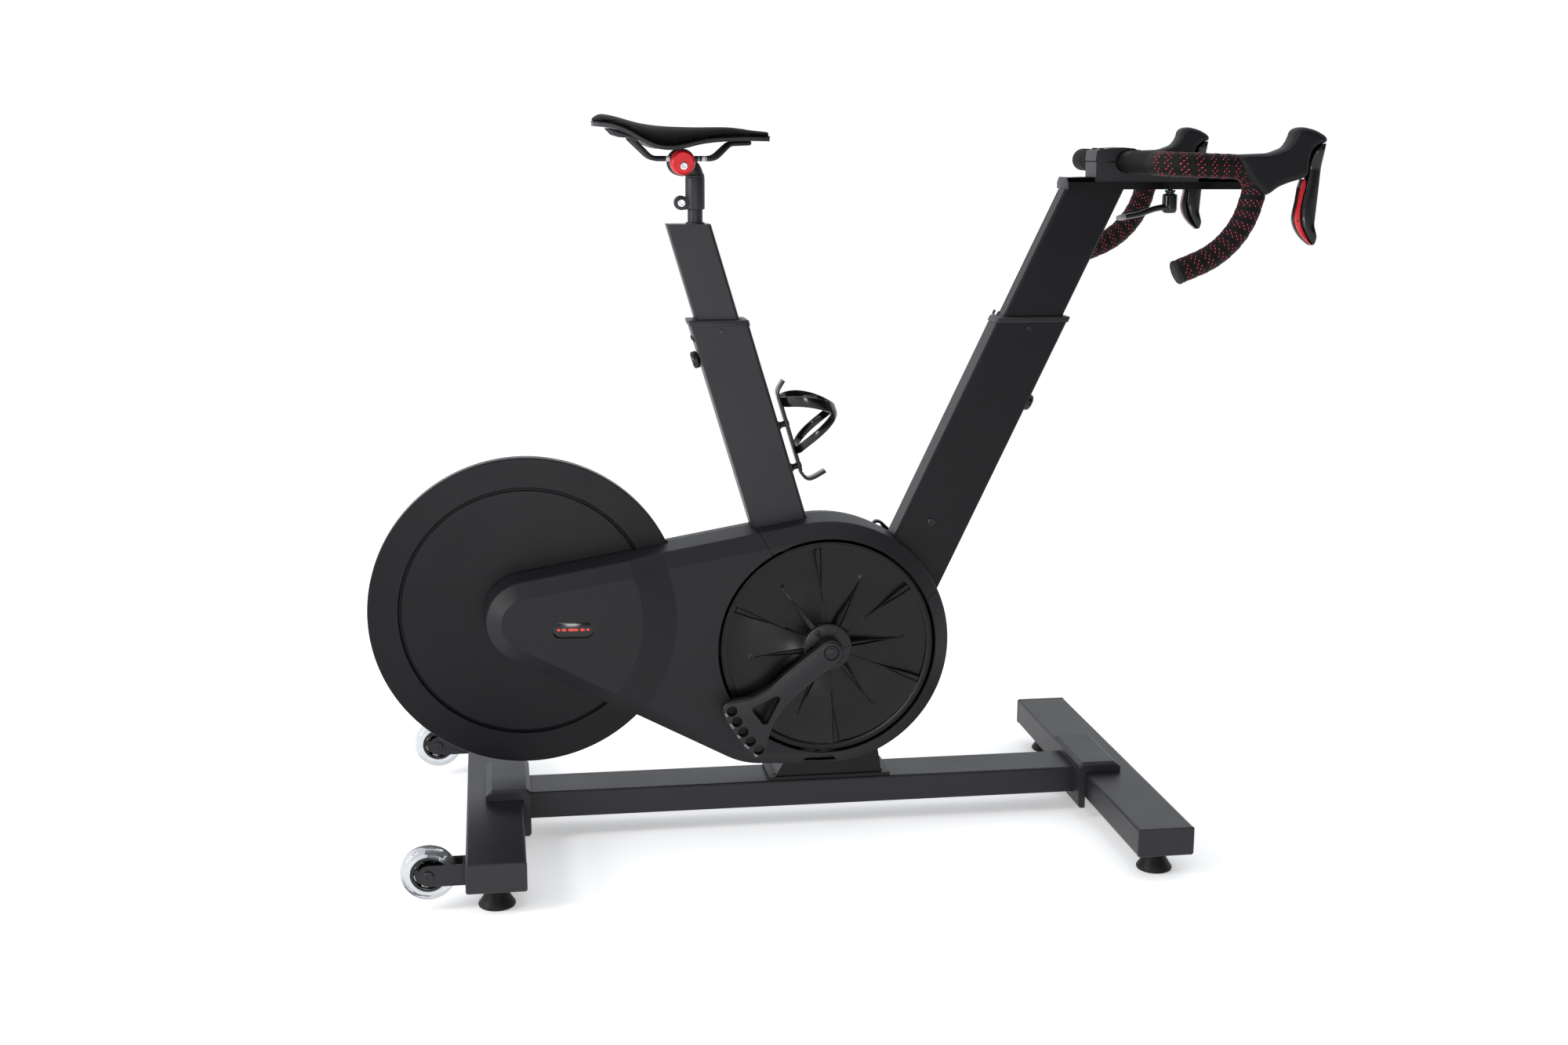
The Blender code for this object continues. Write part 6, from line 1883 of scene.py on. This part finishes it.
HOOD_OUTLINE = ((0.519, 0.9895), (0.570, 0.9915), (0.592, 0.9994), (0.6000, 1.0115),
                (0.6010, 1.0200), (0.6065, 1.0250), (0.6145, 1.0263), (0.6300, 1.0230),
                (0.6425, 1.0165), (0.6470, 1.0125), (0.6472, 1.0065), (0.636, 1.0035),
                (0.626, 0.9950), (0.623, 0.9800), (0.6225, 0.9620), (0.6127, 0.9574),
                (0.5976, 0.9534), (0.5810, 0.9470), (0.5700, 0.9380), (0.5600, 0.9350),
                (0.5400, 0.9540), (0.5280, 0.9720))
HOOD_POCKET = ((0.6022, 0.9400), (0.6042, 0.9670), (0.6140, 0.9690), (0.6205, 0.9840),
               (0.6255, 0.9965), (0.6600, 0.9965), (0.6600, 0.9400))
HOOD_HALF = 0.0195
HOOD_VOXEL = 0.0013
HOOD_RIBS = 12
HOOD_RIB_X = 0.532
HOOD_RIB_PITCH = 0.0052
BLADE_LEVELS = 60
BLADE_POINTS = 32
BLADE_SQUARE = (0.72, 0.62)
LEVER_LOW = 0.8690
LEVER_HIGH = 1.0055
# (z, x) of the blade's front and rear edges, and (z, half width)
LEVER_FRONT = ((0.8690, 0.6405), (0.8705, 0.6425), (0.8800, 0.6448), (0.8960, 0.6400), (0.9280, 0.6420),
               (0.9680, 0.6442), (1.0055, 0.6468), (1.0090, 0.6474))
LEVER_REAR = ((0.8690, 0.6375), (0.8720, 0.6345), (0.8800, 0.6290), (0.8930, 0.6215), (0.9050, 0.6180),
              (0.9200, 0.6180), (0.9350, 0.6205), (0.9480, 0.6235), (0.9620, 0.6240), (0.9800, 0.6245),
              (0.9930, 0.6270), (1.0020, 0.6350), (1.0055, 0.6400), (1.0090, 0.6450))
LEVER_WIDTH = ((0.8690, 0.0040), (0.8740, 0.0066), (0.8850, 0.0080), (0.9300, 0.0085), (0.9740, 0.0088),
               (0.9860, 0.0140), (0.9960, 0.0172), (1.0055, 0.0160), (1.0090, 0.0140))
PADDLE_REAR = ((0.6200, 0.9580), (0.6172, 0.9480), (0.6160, 0.9400), (0.6140, 0.9250), (0.6115, 0.9120),
               (0.6115, 0.9020), (0.6155, 0.8905), (0.6240, 0.8790), (0.6350, 0.8700), (0.6368, 0.8690))


def along_table(table, value):
    """Value of a table of (key, value) pairs, with straight runs between its entries."""
    for (low, a), (high, b) in zip(table, table[1:]):
        if value <= high:
            return a + (b - a) * min(1.0, max(0.0, (value - low) / (high - low)))
    return table[-1][1]


def hood(side_name, side):
    """Rubber hood: a soft body shaped from its outline, open where the lever swings."""
    mid = side * BAR_HALF
    outline = counterclockwise(rounded(list(HOOD_OUTLINE), 0.006, 4))
    steps = ((-HOOD_HALF, 0.0075), (-HOOD_HALF + 0.0012, 0.0042), (-HOOD_HALF + 0.0036, 0.0018),
             (-HOOD_HALF + 0.0075, 0.0003), (-0.006, -0.0004), (0.006, -0.0004),
             (HOOD_HALF - 0.0075, 0.0003), (HOOD_HALF - 0.0036, 0.0018), (HOOD_HALF - 0.0012, 0.0042),
             (HOOD_HALF, 0.0075))
    rows = [[Vector((x, mid + y, z)) for x, z in inset(outline, amount)] for y, amount in steps]
    body = make_object("hood_skin_" + side_name, skinned(rows), "hood")
    modify(body, "REMESH", mode="VOXEL", voxel_size=HOOD_VOXEL)
    modify(body, "SMOOTH", factor=0.5, iterations=6)
    settle(body)
    pocket = bmesh.new()
    plate(pocket, rounded(list(HOOD_POCKET), 0.002, 3), mid - 0.0105, mid + 0.0105, 0.0012)
    bar = bmesh.new()
    centre, _ = resample(bar_path(), 0.006)
    near = [p for p in centre if (p.y > 0) == (side > 0) and abs(p.y) > 0.12]
    tube(bar, near, BAR_RADIUS - 0.0008, 32)
    carve(body, [pocket, bar])
    paint(body.data, "hood")
    place(body, "hood", ("hood_" + side_name,))
    hood_ribs(side_name, side)


def hood_ribs(side_name, side):
    """Short slanted ribs near the top of the hood, on both faces."""
    mid = side * BAR_HALF
    bm = bmesh.new()
    section = strip(0.0004, 0.0004, 0.0003, 0.00035)
    for face in (-1, 1):
        y = mid + face * (HOOD_HALF - 0.0001)
        for k in range(HOOD_RIBS):
            x = HOOD_RIB_X + HOOD_RIB_PITCH * k
            lean = 0.0015 + 0.0008 * (k % 3)
            low = 0.9775 + 0.0006 * k
            path = [Vector((x, y, low + 0.0050)), Vector((x + lean, y, low))]
            sweep(bm, path, section, up=Vector((0, face, 0)))
    detail("hood_ribs_" + side_name, bm, "hood", "hood_" + side_name)


def lever(side_name, side):
    """Brake lever: a curved blade, wide at the pivot and slim at the tip."""
    mid = side * BAR_HALF
    rows = []
    for k in range(BLADE_LEVELS + 1):
        z = LEVER_LOW + (LEVER_HIGH - LEVER_LOW) * k / BLADE_LEVELS
        front = along_table(LEVER_FRONT, z)
        rear = along_table(LEVER_REAR, z)
        half = along_table(LEVER_WIDTH, z)
        row = []
        for j in range(BLADE_POINTS):
            angle = math.tau * j / BLADE_POINTS
            c, s = math.cos(angle), math.sin(angle)
            px = math.copysign(abs(c) ** BLADE_SQUARE[0], c) * (front - rear) / 2
            py = math.copysign(abs(s) ** BLADE_SQUARE[1], s) * half
            row.append(Vector(((front + rear) / 2 + px, mid + py, z)))
        rows.append(row)
    blade = make_object("lever_blade_" + side_name, skinned(rows), "gloss", 50.0)
    modify(blade, "SMOOTH", factor=0.5, iterations=3)
    settle(blade)
    place(blade, "gloss", ("brake_lever_" + side_name,))


def paddle(side_name, side):
    """Shift paddle: a red crescent behind the blade with a dark inner half and a screw."""
    mid = side * BAR_HALF
    rear = [tuple(p) for p in smooth_path([Vector((x, z, 0.0)) for x, z in PADDLE_REAR], 3)]
    rear = [(x, z) for x, z, _ in rear]
    front = [(along_table(LEVER_REAR, z) - 0.0010, z) for _, z in rear]
    for name, finish, low, high, grow in (("", "paddle", 0.0004, 0.0070, 0.0),
                                          ("_back", "gloss", -0.0070, 0.0003, 0.0012)):
        edge = [(x - grow, z) for x, z in rear]
        outline = edge + list(reversed(front[1:-1]))
        ends = sorted((mid + side * low, mid + side * high))
        bm = bmesh.new()
        plate(bm, outline, ends[0], ends[1], 0.0004)
        obj = make_object(f"paddle{name}_{side_name}", bm, finish, 40.0)
        place(obj, finish, ("shift_paddle_" + side_name,), stands_for=not name)
    screws("paddle_screw_" + side_name, "dark", "shift_paddle_" + side_name,
           [(vec(0.6140, 0.9020, mid + side * 0.0070), (0, side, 0))], 0.0012, 0.0006, 0.5, 16)


def controls():
    """Hoods, levers and paddles on both sides."""
    for side_name, side in SIDES:
        hood(side_name, side)
        lever(side_name, side)
        paddle(side_name, side)


# ---------------------------------------------------------------- assembly

# finish: the CAD nodes that keep their own shape
KEPT_NODES = {
    "coat": "base_beam rear_stabilizer front_stabilizer seat_tube wheel_bracket_right "
            "wheel_bracket_left",
    # the main frame, column, front mast and fork arms take the darker copy of the frame paint, which is
    # painted shade
    "coat_painted_shade": "main_frame front_column front_mast fork_arm_right fork_arm_left",
    "coat_seat": "seat_mast",
    "trim": "rear_joint_cover front_joint_cover bar_carriage stem_cap",
    "dark": "flywheel_shaft flywheel_pulley crank_spindle bottom_bracket",
    "rubber": "drive_belt",
    "gloss": "handlebar_rail",
}


def dress_nodes():
    """Give the CAD nodes that stay visible their finish."""
    for finish, nodes in KEPT_NODES.items():
        for node in nodes.split():
            paint(NODES[node].data, finish)
    for end in ("rear", "front"):
        for side_name, _ in SIDES:
            paint(NODES[f"{end}_{side_name}_end_cap"].data, "trim")


dress_nodes()
base()
masts()
flywheel()
cover_right()
cover_left()
drive_pulley()
hub_plate()
for which, way in SIDES:
    crank(which, way)
bottle_cage()
saddle()
handlebar()
rail()
lock_lever()
controls()
